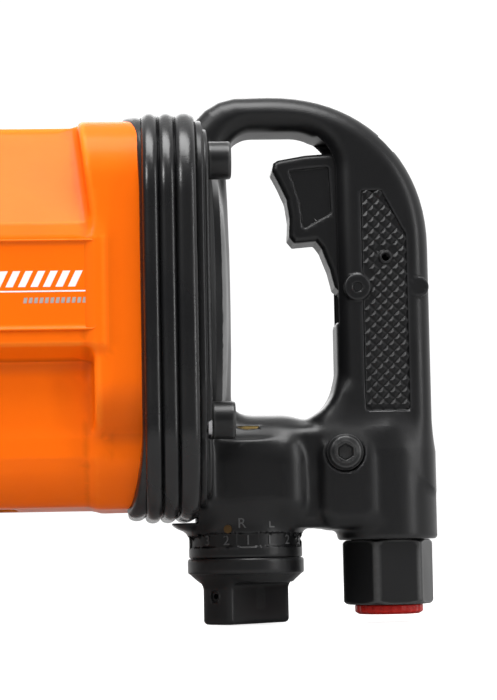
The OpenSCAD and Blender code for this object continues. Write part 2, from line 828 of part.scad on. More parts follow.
module reverse_valve() {
    color("silver") translate([reg_x, 0, 0]) difference() {
        union() {
            translate([0, 0, -110]) cylinder(r = valve_r, h = 54);
            translate([0, 0, -134]) cylinder(r = 8, h = 26);
        }
        rotate([0, 0, knob_rest_deg]) translate([0, 0, air_z]) rotate([0, 90, 0])
            cylinder(r = 5, h = 60, center = true);
    }
}

// The knob: a round flange, and below it a grip bar whose ends point at the scale
module regulator_knob() {
    color([0.2, 0.2, 0.2]) rotate_about_regulator(knob_rest_deg) difference() {
        union() {
            translate([0, 0, knob_top_z - 6.3]) cylinder(r = knob_r, h = 6.3);
            translate([0, 0, knob_top_z - 9.1]) cylinder(r1 = knob_r - 3.2, r2 = knob_r, h = 2.8 + eps);
            intersection() {
                translate([-8.5, -21, -knob_drop]) cube([17, 42, 24]);
                translate([0, 0, -knob_drop]) cylinder(r = 21, h = 24);
            }
        }
        translate([0, 0, -134.4]) cylinder(r = 8, h = 26);
        translate([0, -30, -129]) rotate([-90, 0, 0]) cylinder(r = 2.5, h = 25);
        // Ring groove that the detent ball runs in, with a dimple at each setting
        translate([0, 0, knob_top_z - 2.2]) difference() {
            cylinder(r = detent_ring_r + 2.6, h = 3);
            translate([0, 0, -1]) cylinder(r = detent_ring_r - 2.6, h = 5);
        }
        for (i = [0:5]) rotate([0, 0, detent_deg - knob_rest_deg - 22.5 * i])
            translate([0, -detent_ring_r, knob_top_z - 2.4]) sphere(r = 2.2);
    }
}

module knob_set_screw() {
    color("silver") rotate_about_regulator(knob_rest_deg) translate([0, -19.6, -129])
        rotate([-90, 0, 0]) difference() {
            cylinder(r = 2.45, h = 11.5);
            translate([0, 0, -1]) cylinder(r = 1.4, h = 4, $fn = 6);
        }
}

module detent_ball() {
    color("silver") rotate_about_regulator(detent_deg)
        translate([0, -detent_ring_r, -reg_boss_drop]) sphere(r = 2.2);
}

module detent_spring() {
    color("silver") rotate_about_regulator(detent_deg) translate([0, -detent_ring_r, 0])
        coil(1.7, 0.35, -109.4, -101, 5);
}

module pointer_pin() {
    color("gold") rotate_about_regulator(-20) translate([0, -reg_boss_r + 4, -100])
        rotate([90, 0, 0]) cylinder(r = 1.8, h = 4.6);
}

// ---- Exhaust ----

module exhaust_cover() {
    color("dimgray") difference() {
        translate([cover_x, 0, -housing_drop - 3]) linear_extrude(3)
            round_rect(-18, 18, -42, 42, 8);
        for (i = [-1:1]) translate([cover_x + 6 * i, 0, -housing_drop - 4]) linear_extrude(6)
            round_rect(-1.9, 1.9, -24, 24, 1.8);
        at_cover_screws(-housing_drop - 4) cylinder(r = 2.2, h = 6);
    }
}

// Places of the cover's screws
module at_cover_screws(z) {
    for (x = [cover_x - 13, cover_x + 13], y = [-36, 36]) translate([x, y, z]) children();
}

module exhaust_cover_screws() {
    color("gray") at_cover_screws(-housing_drop) difference() {
        union() {
            translate([0, 0, -4.4]) cylinder(r = 3.6, h = 1.4);
            translate([0, 0, -3.2]) cylinder(r = 2, h = 11);
        }
        translate([0, 0, -5]) cylinder(r = 1.5, h = 1.4, $fn = 6);
    }
}

// ---- Side handle ----

module side_handle_clamp() {
    color([0.2, 0.2, 0.2]) difference() {
        union() {
            x_cyl(collar_r + 9, side_x - 12, side_x + 12);
            translate([side_x, -38, 0]) rotate([90, 0, 0]) cylinder(r = 13, h = 22);
            translate([side_x - 12, 30, -13]) cube([24, 32, 26]);
        }
        x_cyl(collar_r + free_gap, side_x - 20, side_x + 20);
        // Split that the clamp bolt closes
        translate([side_x - 20, 30, -2]) cube([40, 40, 4]);
        translate([side_x, 53, -20]) cylinder(r = 4.1, h = 40);
        translate([side_x, -44, 0]) rotate([90, 0, 0]) cylinder(r = 8, h = 30);
    }
}

module side_handle_bar() {
    color("gray") translate([side_x, -44, 0]) rotate([90, 0, 0])
        cylinder(r = 8, h = side_grip_len + 16);
}

module side_handle_grip() {
    color([0.12, 0.12, 0.12]) translate([side_x, -68, 0]) rotate([90, 0, 0]) difference() {
        rotate_extrude() polygon([[0, 0], [side_grip_r + 4, 0], [side_grip_r + 5, 1.5],
            [side_grip_r + 5, 5], [side_grip_r, 9], [side_grip_r, side_grip_len - 8],
            [side_grip_r - 6, side_grip_len], [0, side_grip_len]]);
        translate([0, 0, -1]) cylinder(r = 8, h = side_grip_len - 5);
        for (z = [16:8:side_grip_len - 14]) translate([0, 0, z]) difference() {
            cylinder(r = side_grip_r + 1, h = 2.4);
            translate([0, 0, -1]) cylinder(r = side_grip_r - 1.4, h = 5);
        }
    }
}

module clamp_bolt() {
    color("gray") translate([side_x, 53, 0]) difference() {
        union() {
            translate([0, 0, -19]) cylinder(r = 4, h = 32.1);
            translate([0, 0, 13]) cylinder(r = 6.5, h = 8);
        }
        translate([0, 0, 16.5]) cylinder(r = 3.5, h = 6, $fn = 6);
    }
}

module clamp_nut() {
    color("gray") translate([side_x, 53, -19.8]) difference() {
        cylinder(r = 7.5, h = 6.8, $fn = 6);
        translate([0, 0, -1]) cylinder(r = 4, h = 9);
    }
}

motor_housing();
hammer_case();
case_gasket();
nose_bushing();
front_oil_seal();
housing_bolts();
housing_bolt_washers();
grease_nipple();
hanger_eye();
front_end_plate();
rear_end_plate();
cylinder_liner();
liner_dowel();
rotor_seal();
front_bearing_outer_race();
front_bearing_inner_race();
front_bearing_balls();
rear_bearing_outer_race();
rear_bearing_inner_race();
rear_bearing_balls();
rotor();
rotor_blades();
hammer_cage();
hammer_pins();
front_hammer();
rear_hammer();
anvil();
anvil_thrust_washer();
backhead_gasket();
backhead();
backhead_bolts();
backhead_washers();
rubber_bumper();
trigger();
trigger_pin();
throttle_rod();
throttle_rod_seal();
throttle_valve();
throttle_seat();
throttle_spring();
inlet_bushing();
inlet_screen();
dust_plug();
oil_plug();
oil_plug_seal();
reverse_valve_bushing();
reverse_valve();
regulator_knob();
knob_set_screw();
detent_ball();
detent_spring();
pointer_pin();
exhaust_cover();
exhaust_cover_screws();
side_handle_clamp();
side_handle_bar();
side_handle_grip();
clamp_bolt();
clamp_nut();
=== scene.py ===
"""Looks of a pneumatic impact wrench with a D-handle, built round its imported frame.

Lengths in this file are millimetres in the frame of the part, until a mesh is made in metres.
X runs to the rear along the motor, Z is up, and the tool's left side faces -Y.
"""

import json
import logging
import math
from dataclasses import dataclass, field
from enum import Enum
from typing import Callable, Sequence

import bpy
import numpy as np
import openvdb as vdb
from mathutils import Matrix, Vector

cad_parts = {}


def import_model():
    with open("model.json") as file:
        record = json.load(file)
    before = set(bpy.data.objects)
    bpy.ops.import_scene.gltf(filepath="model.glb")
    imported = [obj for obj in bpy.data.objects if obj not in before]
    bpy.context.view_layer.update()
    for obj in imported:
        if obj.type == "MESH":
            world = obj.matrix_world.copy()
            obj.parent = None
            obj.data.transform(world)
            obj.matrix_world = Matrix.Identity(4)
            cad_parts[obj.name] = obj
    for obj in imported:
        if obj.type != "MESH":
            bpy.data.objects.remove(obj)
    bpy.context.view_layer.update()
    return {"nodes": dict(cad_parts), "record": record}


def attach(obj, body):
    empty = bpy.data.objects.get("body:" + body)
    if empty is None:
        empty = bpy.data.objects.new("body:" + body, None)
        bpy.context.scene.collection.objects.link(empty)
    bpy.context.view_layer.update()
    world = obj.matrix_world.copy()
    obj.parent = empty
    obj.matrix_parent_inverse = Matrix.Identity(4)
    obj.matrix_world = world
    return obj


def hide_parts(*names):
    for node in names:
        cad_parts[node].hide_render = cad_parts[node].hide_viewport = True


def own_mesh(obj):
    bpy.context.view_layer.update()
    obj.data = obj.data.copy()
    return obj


MM = 0.001
LOG = logging.getLogger("impact_wrench")
CORNERS = ((-1, -1), (-1, 1), (1, -1), (1, 1))

Array = np.ndarray
Piece = bpy.types.Object
Socket = bpy.types.NodeSocket
Colour = tuple[float, float, float]
Point = tuple[float, float]


class Axis(Enum):
    """An axis of the part, with the two axes across it."""

    X = (0, 1, 2)
    Y = (1, 0, 2)
    Z = (2, 0, 1)


class Pattern(Enum):
    """The small relief that a finish carries."""

    CAST = "cast"
    PEEL = "peel"
    BRUSHED = "brushed"
    LAMINATE = "laminate"


# ---- Outlines and solids as distance rules ----


def rounded_meet(a: Array, b: Array, radius: float) -> Array:
    """Meets two distances in a rounded edge.

    Args:
        a: Distance to the first face, negative inside.
        b: Distance to the second face.
        radius: Radius of the edge between them.

    Returns:
        The distance to the rounded body.
    """
    u, v = a + radius, b + radius
    outside = np.hypot(np.maximum(u, 0), np.maximum(v, 0))
    return np.minimum(np.maximum(u, v), 0) + outside - radius


def blended_min(a: Array, b: Array, blend: float) -> Array:
    """Joins two distances with a fillet.

    Args:
        a: First distance.
        b: Second distance.
        blend: Reach of the fillet, 0 for none.

    Returns:
        The joined distance.
    """
    if blend <= 0:
        return np.minimum(a, b)
    share = np.clip(0.5 + 0.5 * (b - a) / blend, 0, 1)
    return b + (a - b) * share - blend * share * (1 - share)


@dataclass(frozen=True)
class Outline:
    """A flat shape, as the distance from its edge, negative inside."""

    rule: Callable[[Array, Array], Array]

    @staticmethod
    def rect(u0: float, u1: float, v0: float, v1: float, radius: float = 0.0) -> "Outline":
        """A rectangle with rounded corners, from u0 to u1 and v0 to v1."""
        cu, cv, hu, hv = (u0 + u1) / 2, (v0 + v1) / 2, (u1 - u0) / 2, (v1 - v0) / 2
        return Outline(lambda u, v: rounded_meet(abs(u - cu) - hu, abs(v - cv) - hv, radius))

    @staticmethod
    def disc(cu: float, cv: float, radius: float) -> "Outline":
        """A round disc about cu, cv."""
        return Outline(lambda u, v: np.hypot(u - cu, v - cv) - radius)

    @staticmethod
    def hexagon(across: float, radius: float = 0.0) -> "Outline":
        """A hexagon about the origin, with its first flat across the first axis.

        Args:
            across: Size across its flats.
            radius: How far its corners are cut back.

        Returns:
            The outline.
        """
        turns = [math.radians(60 * i) for i in range(6)]

        def rule(u: Array, v: Array) -> Array:
            """Distance to the hexagon."""
            sides = [u * math.cos(t) + v * math.sin(t) - across / 2 for t in turns]
            return rounded_meet(np.max(sides, axis=0), np.hypot(u, v) - across / math.sqrt(3) + radius, 0.4)

        return Outline(rule)

    @staticmethod
    def polygon(points: Sequence[Point], radius: float = 0.0) -> "Outline":
        """A closed polygon whose outer corners are rounded.

        Args:
            points: Its corners in order.
            radius: Radius of the corners.

        Returns:
            The outline.
        """
        ring = np.array(points, float)
        edge = np.roll(ring, -1, 0) - ring
        area = (ring[:, 0] * np.roll(ring[:, 1], -1) - ring[:, 1] * np.roll(ring[:, 0], -1)).sum()
        if radius > 0:
            unit = edge / np.linalg.norm(edge, axis=1)[:, None]
            inward = np.stack([-unit[:, 1], unit[:, 0]], 1) * math.copysign(radius, area)
            before, here = np.roll(inward, 1, 0), inward
            bisector = before + here
            ring = ring + bisector * (2 * radius**2 / (bisector**2).sum(1))[:, None]
            edge = np.roll(ring, -1, 0) - ring

        def rule(u: Array, v: Array) -> Array:
            """Distance to the polygon.

            Args:
                u: Places along the first axis.
                v: Places along the second axis.

            Returns:
                The distances.
            """
            nearest = np.full(u.shape, np.inf, u.dtype)
            inside = np.zeros(u.shape, bool)
            for (pu, pv), (eu, ev) in zip(ring.tolist(), edge.tolist()):
                du, dv = u - pu, v - pv
                along = np.clip((du * eu + dv * ev) / (eu * eu + ev * ev), 0, 1)
                nearest = np.minimum(nearest, (du - eu * along) ** 2 + (dv - ev * along) ** 2)
                if ev:
                    inside ^= ((dv < 0) != (dv < ev)) & (du < dv * (eu / ev))
            return np.where(inside, -1, 1) * np.sqrt(nearest) - radius

        return Outline(rule)

    @staticmethod
    def mirrored(half: Sequence[Point], radius: float = 0.0) -> "Outline":
        """A closed polygon from the corners of one half, mirrored about the second axis."""
        return Outline.polygon([*half, *((-u, v) for u, v in reversed(half) if u)], radius)

    @staticmethod
    def hull(discs: Sequence[tuple[float, float, float]]) -> "Outline":
        """The shape of a belt round discs.

        Args:
            discs: Centre and radius of each disc.

        Returns:
            The outline.
        """
        turns = np.linspace(0, 2 * math.pi, 49)[:-1]
        cloud = sorted((u + r * math.cos(t), v + r * math.sin(t)) for u, v, r in discs for t in turns)
        halves: list[list[Point]] = []
        for run in (cloud, cloud[::-1]):
            half: list[Point] = []
            for p in run:
                while len(half) > 1 and _turn(half[-2], half[-1], p) <= 1e-6:
                    half.pop()
                half.append(p)
            halves.append(half[:-1])
        return Outline.polygon(halves[0] + halves[1])

    def cut(self, other: "Outline") -> "Outline":
        """This outline without the other."""
        return Outline(lambda u, v: np.maximum(self.rule(u, v), -other.rule(u, v)))

    def join(self, other: "Outline", blend: float = 0.0) -> "Outline":
        """This outline with the other, filleted between."""
        return Outline(lambda u, v: blended_min(self.rule(u, v), other.rule(u, v), blend))

    def grown(self, by: float) -> "Outline":
        """This outline, larger all round."""
        return Outline(lambda u, v: self.rule(u, v) - by)


def _turn(a: Point, b: Point, c: Point) -> float:
    """How far c lies to the left of the line from a to b."""
    return (b[0] - a[0]) * (c[1] - a[1]) - (b[1] - a[1]) * (c[0] - a[0])


@dataclass(frozen=True)
class Solid:
    """A body, as the distance from its surface, negative inside."""

    rule: Callable[[Array], Array]

    @staticmethod
    def pushed(shape: Outline, axis: Axis, low: float, high: float, edge: float = 0.0) -> "Solid":
        """An outline pushed along an axis, with rounded rims.

        Args:
            shape: Outline across the axis.
            axis: Direction of the push.
            low: Where it starts.
            high: Where it ends.
            edge: Radius of the rims.

        Returns:
            The solid.
        """
        a, b, c = axis.value
        mid, half = (low + high) / 2, (high - low) / 2
        return Solid(lambda p: rounded_meet(shape.rule(p[b], p[c]), abs(p[a] - mid) - half, edge))

    @staticmethod
    def turned(shape: Outline, axis: Axis, centre: Point = (0.0, 0.0)) -> "Solid":
        """An outline of radius and length turned round an axis.

        Args:
            shape: Outline over radius and length.
            axis: Axis that it turns round.
            centre: Where the axis stands.

        Returns:
            The solid.
        """
        a, b, c = axis.value
        return Solid(lambda p: shape.rule(np.hypot(p[b] - centre[0], p[c] - centre[1]), p[a]))

    @staticmethod
    def rod(axis: Axis, centre: Point, radius: float, low: float, high: float, edge: float = 0.0) -> "Solid":
        """A round rod along an axis, with rounded rims."""
        return Solid.pushed(Outline.disc(*centre, radius), axis, low, high, edge)

    def join(self, other: "Solid", blend: float = 0.0) -> "Solid":
        """This solid with the other, filleted between."""
        return Solid(lambda p: blended_min(self.rule(p), other.rule(p), blend))

    def cut(self, other: "Solid", blend: float = 0.0) -> "Solid":
        """This solid without the other, with the rim rounded by the blend."""
        return Solid(lambda p: -blended_min(-self.rule(p), other.rule(p), blend))

    def meet(self, other: "Solid", blend: float = 0.0) -> "Solid":
        """What this solid and the other share."""
        return Solid(lambda p: -blended_min(-self.rule(p), -other.rule(p), blend))

    def about_z(self, centre: Point, degrees: float) -> "Solid":
        """This solid turned about an upright line.

        Args:
            centre: Where the line stands, in X and Y.
            degrees: The turn, counterclockwise from above.

        Returns:
            The turned solid.
        """
        c, s = math.cos(math.radians(degrees)), math.sin(math.radians(degrees))
        cx, cy = centre

        def rule(p: Array) -> Array:
            """Distance in the turned frame."""
            x, y = p[0] - cx, p[1] - cy
            return self.rule(np.stack([cx + c * x + s * y, cy + c * y - s * x, p[2]]))

        return Solid(rule)


# ---- Meshes ----


@dataclass(frozen=True)
class Skinner:
    """Wraps a solid in a mesh, block by block, and draws its points onto the true surface."""

    voxel: float
    merge: float = 0.01
    band: float = 3.0
    block: int = 8
    batch: int = 400
    passes: int = 3
    edge_reach: float = 0.8

    def wrap(self, name: str, solid: Solid, low: Sequence[float], high: Sequence[float]) -> Piece:
        """Meshes a solid inside a box.

        Args:
            name: Name of the piece.
            solid: The solid.
            low: Lowest corner of the box.
            high: Highest corner of the box.

        Returns:
            The object, with normals and an edge value on its points.
        """
        start = np.array(low, float) - 2 * self.voxel
        counts = np.ceil((np.array(high) - start) / (self.voxel * self.block)).astype(int) + 1
        step = self.voxel * self.block
        where = np.stack(np.meshgrid(*[np.arange(n) for n in counts], indexing="ij")).reshape(3, -1)
        middle = start[:, None] + (where + 0.5) * step - self.voxel / 2
        far = solid.rule(middle.astype(np.float32))
        full = np.empty((counts[0], self.block, counts[1], self.block, counts[2], self.block), np.float32)
        full[where[0], :, where[1], :, where[2], :] = np.sign(far)[:, None, None, None] * self.band
        near = where[:, np.abs(far) < step * 1.05 + 2 * self.voxel]
        inner = np.stack(np.meshgrid(*[np.arange(self.block)] * 3, indexing="ij")).reshape(3, 1, -1)
        for i in range(0, near.shape[1], self.batch):
            part = near[:, i : i + self.batch]
            at = start[:, None, None] + (part[:, :, None] * self.block + inner) * self.voxel
            value = solid.rule(at.reshape(3, -1).astype(np.float32)) / self.voxel
            full[part[0], :, part[1], :, part[2], :] = np.clip(value, -self.band, self.band).reshape(
                -1, self.block, self.block, self.block
            )
        grid = vdb.FloatGrid(self.band)
        grid.copyFromArray(full.reshape(counts * self.block))
        points, tris, quads = grid.convertToPolygons(isovalue=0.0, adaptivity=self.merge)
        at = start[:, None] + points.T.astype(np.float64) * self.voxel
        for _ in range(self.passes):
            value, slope, _ = self._probe(solid, at, self.voxel * 0.3)
            move = slope * (value / np.maximum((slope**2).sum(0), 0.05))
            at -= np.clip(move, -0.6 * self.voxel, 0.6 * self.voxel)
        _, normal, _ = self._probe(solid, at, self.voxel * 0.5)
        normal /= np.maximum(np.linalg.norm(normal, axis=0), 1e-9)
        bend = self._probe(solid, at, self.edge_reach)[2]
        faces = [f for group in (tris, quads) if len(group) for f in self._outward(group, at, normal)]
        obj = mesh_object(name, at.T, faces)
        edge = obj.data.attributes.new("edge", "FLOAT", "POINT")
        edge.data.foreach_set("value", np.clip(bend, -1, 1).astype(np.float32))
        obj.data.normals_split_custom_set_from_vertices(normal.T.tolist())
        return obj

    @staticmethod
    def _probe(solid: Solid, at: Array, reach: float) -> tuple[Array, Array, Array]:
        """Reads a solid's distance, slope and curvature at points.

        Args:
            solid: The solid.
            at: Points, three rows.
            reach: How far to each side it looks.

        Returns:
            The distance, its slope and its curvature.
        """
        offsets = np.concatenate([np.zeros((3, 1)), np.eye(3) * reach, -np.eye(3) * reach], 1)
        cloud = at[:, None, :] + offsets[:, :, None]
        value = solid.rule(cloud.reshape(3, -1)).reshape(7, -1)
        slope = (value[1:4] - value[4:7]) / (2 * reach)
        return value[0], slope, (value[1:].sum(0) - 6 * value[0]) / reach**2

    @staticmethod
    def _outward(group: Array, at: Array, normal: Array) -> list[list[int]]:
        """Turns each face so that it looks out of the solid.

        Args:
            group: Corners of the faces, one row for each face.
            at: Points, three rows.
            normal: Outward directions at the points, three rows.

        Returns:
            The faces.
        """
        corner = at.T[group]
        face = np.cross(corner[:, 1] - corner[:, 0], corner[:, 2] - corner[:, 0])
        face += np.cross(corner[:, 2] - corner[:, 0], corner[:, -1] - corner[:, 0])
        inward = (face * normal.T[group].sum(1)).sum(1) < 0
        group = group.copy()
        group[inward] = group[inward][:, ::-1]
        return group.tolist()


def mesh_object(name: str, points: Array, faces: Sequence[Sequence[int]], smooth: bool = True) -> Piece:
    """Makes an object from points in millimetres and faces.

    Args:
        name: Name of the object.
        points: One row for each point.
        faces: Corners of each face, in order.
        smooth: Whether its faces are shaded smooth.

    Returns:
        The linked object.
    """
    mesh = bpy.data.meshes.new(name)
    mesh.from_pydata((np.asarray(points) * MM).tolist(), [], list(faces))
    mesh.polygons.foreach_set("use_smooth", [smooth] * len(mesh.polygons))
    mesh.update()
    obj = bpy.data.objects.new(name, mesh)
    bpy.context.scene.collection.objects.link(obj)
    return obj


def loft(name: str, rows: Array, closed: bool = True, capped: bool = True) -> Piece:
    """Skins rings of points.

    Args:
        name: Name of the object.
        rows: Rings, as ring by point by three.
        closed: Whether the last ring joins the first.
        capped: Whether open ends get a cap.

    Returns:
        The object.
    """
    count, around = rows.shape[:2]
    faces: list[list[int]] = []
    for i in range(count if closed else count - 1):
        a, b = i * around, (i + 1) % count * around
        faces += [[a + j, a + (j + 1) % around, b + (j + 1) % around, b + j] for j in range(around)]
    if capped and not closed:
        faces.append(list(range(around))[::-1])
        faces.append([(count - 1) * around + j for j in range(around)])
    points = rows.reshape(-1, 3)
    quads = points[np.array([f for f in faces if len(f) == 4])]
    centre = points.mean(0)
    normal = np.cross(quads[:, 2] - quads[:, 0], quads[:, 3] - quads[:, 1])
    if (normal * (quads.mean(1) - centre)).sum() < 0:
        faces = [face[::-1] for face in faces]
    return mesh_object(name, points, faces)


def lathe(
    name: str, profile: Sequence[Point], axis: Axis, centre: Point, ripple: float = 0.0, waves: int = 0
) -> Piece:
    """Turns a profile of radius and length round an axis.

    Args:
        name: Name of the object.
        profile: Its points, from one end to the other.
        axis: Axis that it turns round.
        centre: Where the axis stands.
        ripple: Depth of a ripple round the outside.
        waves: Number of ripples.

    Returns:
        The object, with closed ends.
    """
    around = max(96, waves * 8)
    turn = np.arange(around) * 2 * math.pi / around
    radius = np.array([max(p[0], 0.02) for p in profile])[:, None]
    radius = radius - ripple * (0.5 - 0.5 * np.cos(turn * waves)) * (radius > 0.8 * radius.max())
    a, b, c = axis.value
    rows = np.zeros((len(profile), around, 3))
    rows[..., a] = np.array([p[1] for p in profile])[:, None]
    sign = -1 if axis is Axis.Y else 1
    rows[..., b] = centre[0] + radius * np.cos(turn)
    rows[..., c] = centre[1] + sign * radius * np.sin(turn)
    return loft(name, rows, closed=False)


def softened(profile: Sequence[Point], radius: float, steps: int = 4) -> list[Point]:
    """Rounds the inner corners of a profile.

    Args:
        profile: Points of the profile.
        radius: How far from each corner the rounding starts.
        steps: Points on each rounding.

    Returns:
        The rounded profile.
    """
    out: list[Point] = [profile[0]]
    for before, here, after in zip(profile, profile[1:], profile[2:]):
        a, h, b = (Vector(q) for q in (before, here, after))
        reach = min(radius, (a - h).length * 0.45, (b - h).length * 0.45)
        p, q = h + (a - h).normalized() * reach, h + (b - h).normalized() * reach
        for i in range(steps + 1):
            t = i / steps
            out.append(tuple(p * (1 - t) ** 2 + h * 2 * t * (1 - t) + q * t**2))
    out.append(profile[-1])
    return out


# ---- Node trees ----


@dataclass
class Wiring:
    """A node tree under construction."""

    tree: bpy.types.NodeTree

    def node(self, kind: str, values: dict | None = None, **settings: object) -> bpy.types.Node:
        """Adds a node.

        Args:
            kind: Type of the node.
            values: Input values or sockets to link, by name or number.
            settings: Properties of the node.

        Returns:
            The node.
        """
        made = self.tree.nodes.new(kind)
        for key, value in settings.items():
            setattr(made, key, value)
        for key, value in (values or {}).items():
            socket = made.inputs[key]
            if isinstance(value, Socket):
                self.tree.links.new(value, socket)
            else:
                socket.default_value = value
        return made

    def math(self, operation: str, a: object, b: object = 0.0, clamp: bool = False) -> Socket:
        """Adds a sum of one or two values and returns its result."""
        return self.node("ShaderNodeMath", {0: a, 1: b}, operation=operation, use_clamp=clamp).outputs[0]

    def socket(self, name: str, kind: str, default: object = None, output: bool = False) -> str:
        """Adds a named socket to the group.

        Args:
            name: Name of the socket.
            kind: Type of the socket.
            default: Its value where nothing is linked.
            output: Whether it is an output.

        Returns:
            Its identifier.
        """
        made = self.tree.interface.new_socket(
            name=name, in_out="OUTPUT" if output else "INPUT", socket_type=kind
        )
        if default is not None:
            made.default_value = default
        return made.identifier


FLOAT, VECTOR, GEOMETRY = "NodeSocketFloat", "NodeSocketVector", "NodeSocketGeometry"
INTEGER, MATERIAL, OBJECT = "NodeSocketInt", "NodeSocketMaterial", "NodeSocketObject"
CLOUD_SCALE, SCRATCH_SCALE = 38.0, 420.0
STRETCH = {Pattern.BRUSHED: (0.04, 1.0, 1.0), Pattern.LAMINATE: (0.2, 0.2, 3.0)}
DETAIL = {Pattern.CAST: 3.0, Pattern.PEEL: 0.5, Pattern.BRUSHED: 4.0, Pattern.LAMINATE: 2.0}


def surface_group(pattern: Pattern) -> bpy.types.NodeTree:
    """Makes the shared group that reads a point and gives relief, mottle, wear and a hollow mask for grime
    and painted shade.

    Args:
        pattern: The relief wanted.

    Returns:
        The node group.
    """
    name = f"surface_{pattern.value}"
    if name in bpy.data.node_groups:
        return bpy.data.node_groups[name]
    wiring = Wiring(bpy.data.node_groups.new(name, "ShaderNodeTree"))
    wiring.socket("Point", VECTOR)
    for label, value in (("Grain Size", 0.001), ("Edge", 0.0), ("Wear", 0.5)):
        wiring.socket(label, FLOAT, value)
    for label in ("Height", "Mottle", "Worn", "Hollow"):
        wiring.socket(label, FLOAT, output=True)
    inlet = wiring.node("NodeGroupInput").outputs
    point = inlet["Point"]
    per_size = wiring.math("DIVIDE", 1.0, inlet["Grain Size"])
    stretched = point
    if pattern in STRETCH:
        stretched = wiring.node("ShaderNodeMapping", {"Vector": point, "Scale": STRETCH[pattern]}).outputs[0]
    fine = wiring.node(
        "ShaderNodeTexNoise",
        {"Vector": stretched, "Scale": per_size, "Detail": DETAIL[pattern], "Roughness": 0.55},
    ).outputs[0]
    height = fine
    if pattern is Pattern.CAST:
        cells = wiring.node(
            "ShaderNodeTexVoronoi", {"Vector": point, "Scale": wiring.math("MULTIPLY", per_size, 0.8)}
        ).outputs[0]
        height = wiring.math("ADD", wiring.math("MULTIPLY", fine, 0.6), wiring.math("MULTIPLY", cells, 0.5))
    cloud = wiring.node(
        "ShaderNodeTexNoise", {"Vector": point, "Scale": CLOUD_SCALE, "Detail": 3.0}
    ).outputs[0]
    scratch = wiring.node(
        "ShaderNodeTexNoise", {"Vector": point, "Scale": SCRATCH_SCALE, "Detail": 4.0, "Roughness": 0.7}
    ).outputs[0]
    patchy = wiring.math("MULTIPLY", wiring.math("ADD", scratch, cloud), inlet["Wear"])
    raised = wiring.math("MULTIPLY", wiring.math("SUBTRACT", inlet["Edge"], 0.12), 2.2, True)
    worn = wiring.math("MULTIPLY", raised, patchy, True)
    # Hollow marks concave edges, which the finish darkens as grime and painted shade.
    hollow = wiring.math("MULTIPLY", inlet["Edge"], -2.5, True)
    ends = {"Height": height, "Mottle": cloud, "Worn": worn, "Hollow": hollow}
    wiring.node("NodeGroupOutput", ends)
    return wiring.tree


@dataclass(frozen=True)
class Finish:
    """A surface finish: its colours, gloss, relief and wear, with grime and painted shade in its hollows."""

    name: str
    tone: Colour
    shade: Colour
    worn: Colour
    rough: float
    pattern: Pattern = Pattern.CAST
    metal: float = 0.0
    coat: float = 0.0
    coat_rough: float = 0.12
    specular: float = 0.5
    grain_mm: float = 0.8
    relief_mm: float = 0.04
    wear: float = 0.5
    rough_play: float = 0.12
    # Strength of the grime and painted shade that darkens hollows.
    grime_and_shade: float = 0.35
    glow: float = 0.0

    def material(self) -> bpy.types.Material:
        """Makes the finish's material, or finds it where it is already made.

        Returns:
            The material.
        """
        title = f"{self.name}_finish"
        if title in bpy.data.materials:
            return bpy.data.materials[title]
        material = bpy.data.materials.new(title)
        material.use_nodes = True
        material.diffuse_color = (*self.tone, 1.0)
        wiring = Wiring(material.node_tree)
        shader = next(n for n in material.node_tree.nodes if n.type == "BSDF_PRINCIPLED")
        point = wiring.node("ShaderNodeTexCoord").outputs["Object"]
        edge = wiring.node("ShaderNodeAttribute", attribute_name="edge").outputs["Fac"]
        surface = wiring.node("ShaderNodeGroup", node_tree=surface_group(self.pattern))
        for key, value in {"Grain Size": self.grain_mm * MM, "Wear": self.wear}.items():
            surface.inputs[key].default_value = value
        material.node_tree.links.new(point, surface.inputs["Point"])
        material.node_tree.links.new(edge, surface.inputs["Edge"])
        out = surface.outputs
        base = self._mix(wiring, out["Mottle"], self.tone, self.shade)
        # Concave hollows darken towards a third of the shade colour: grime and painted shade.
        hollow_grime_and_shade = wiring.math("MULTIPLY", out["Hollow"], self.grime_and_shade)
        dark = tuple(c * 0.35 for c in self.shade)
        base = self._mix(wiring, hollow_grime_and_shade, base, dark)
        base = self._mix(wiring, out["Worn"], base, self.worn)
        spread = wiring.math("MULTIPLY", wiring.math("SUBTRACT", out["Mottle"], 0.5), self.rough_play * 2)
        rough = wiring.math("ADD", spread, self.rough)
        rough = wiring.math("SUBTRACT", rough, wiring.math("MULTIPLY", out["Worn"], self.rough * 0.25), True)
        bump = wiring.node(
            "ShaderNodeBump", {"Height": out["Height"], "Strength": 1.0, "Distance": self.relief_mm * MM}
        )
        links = material.node_tree.links
        links.new(base, shader.inputs["Base Color"])
        links.new(rough, shader.inputs["Roughness"])
        links.new(bump.outputs[0], shader.inputs["Normal"])
        constants = {
            "Metallic": self.metal,
            "Coat Weight": self.coat,
            "Coat Roughness": self.coat_rough,
            "Specular IOR Level": self.specular,
            "Emission Color": (1.0, 1.0, 1.0, 1.0),
            "Emission Strength": self.glow,
        }
        for key, value in constants.items():
            shader.inputs[key].default_value = value
        return material

    @staticmethod
    def _mix(wiring: Wiring, factor: object, a: object, b: object) -> Socket:
        """Mixes two colours.

        Args:
            wiring: The material's tree.
            factor: Share of the second colour.
            a: First colour, as a value or a socket.
            b: Second colour.

        Returns:
            The mixed colour.
        """
        mix = wiring.node("ShaderNodeMix", data_type="RGBA")
        for index, value in ((0, factor), (6, a), (7, b)):
            if isinstance(value, Socket):
                wiring.tree.links.new(value, mix.inputs[index])
            else:
                mix.inputs[index].default_value = (*value, 1.0)
        return mix.outputs[2]


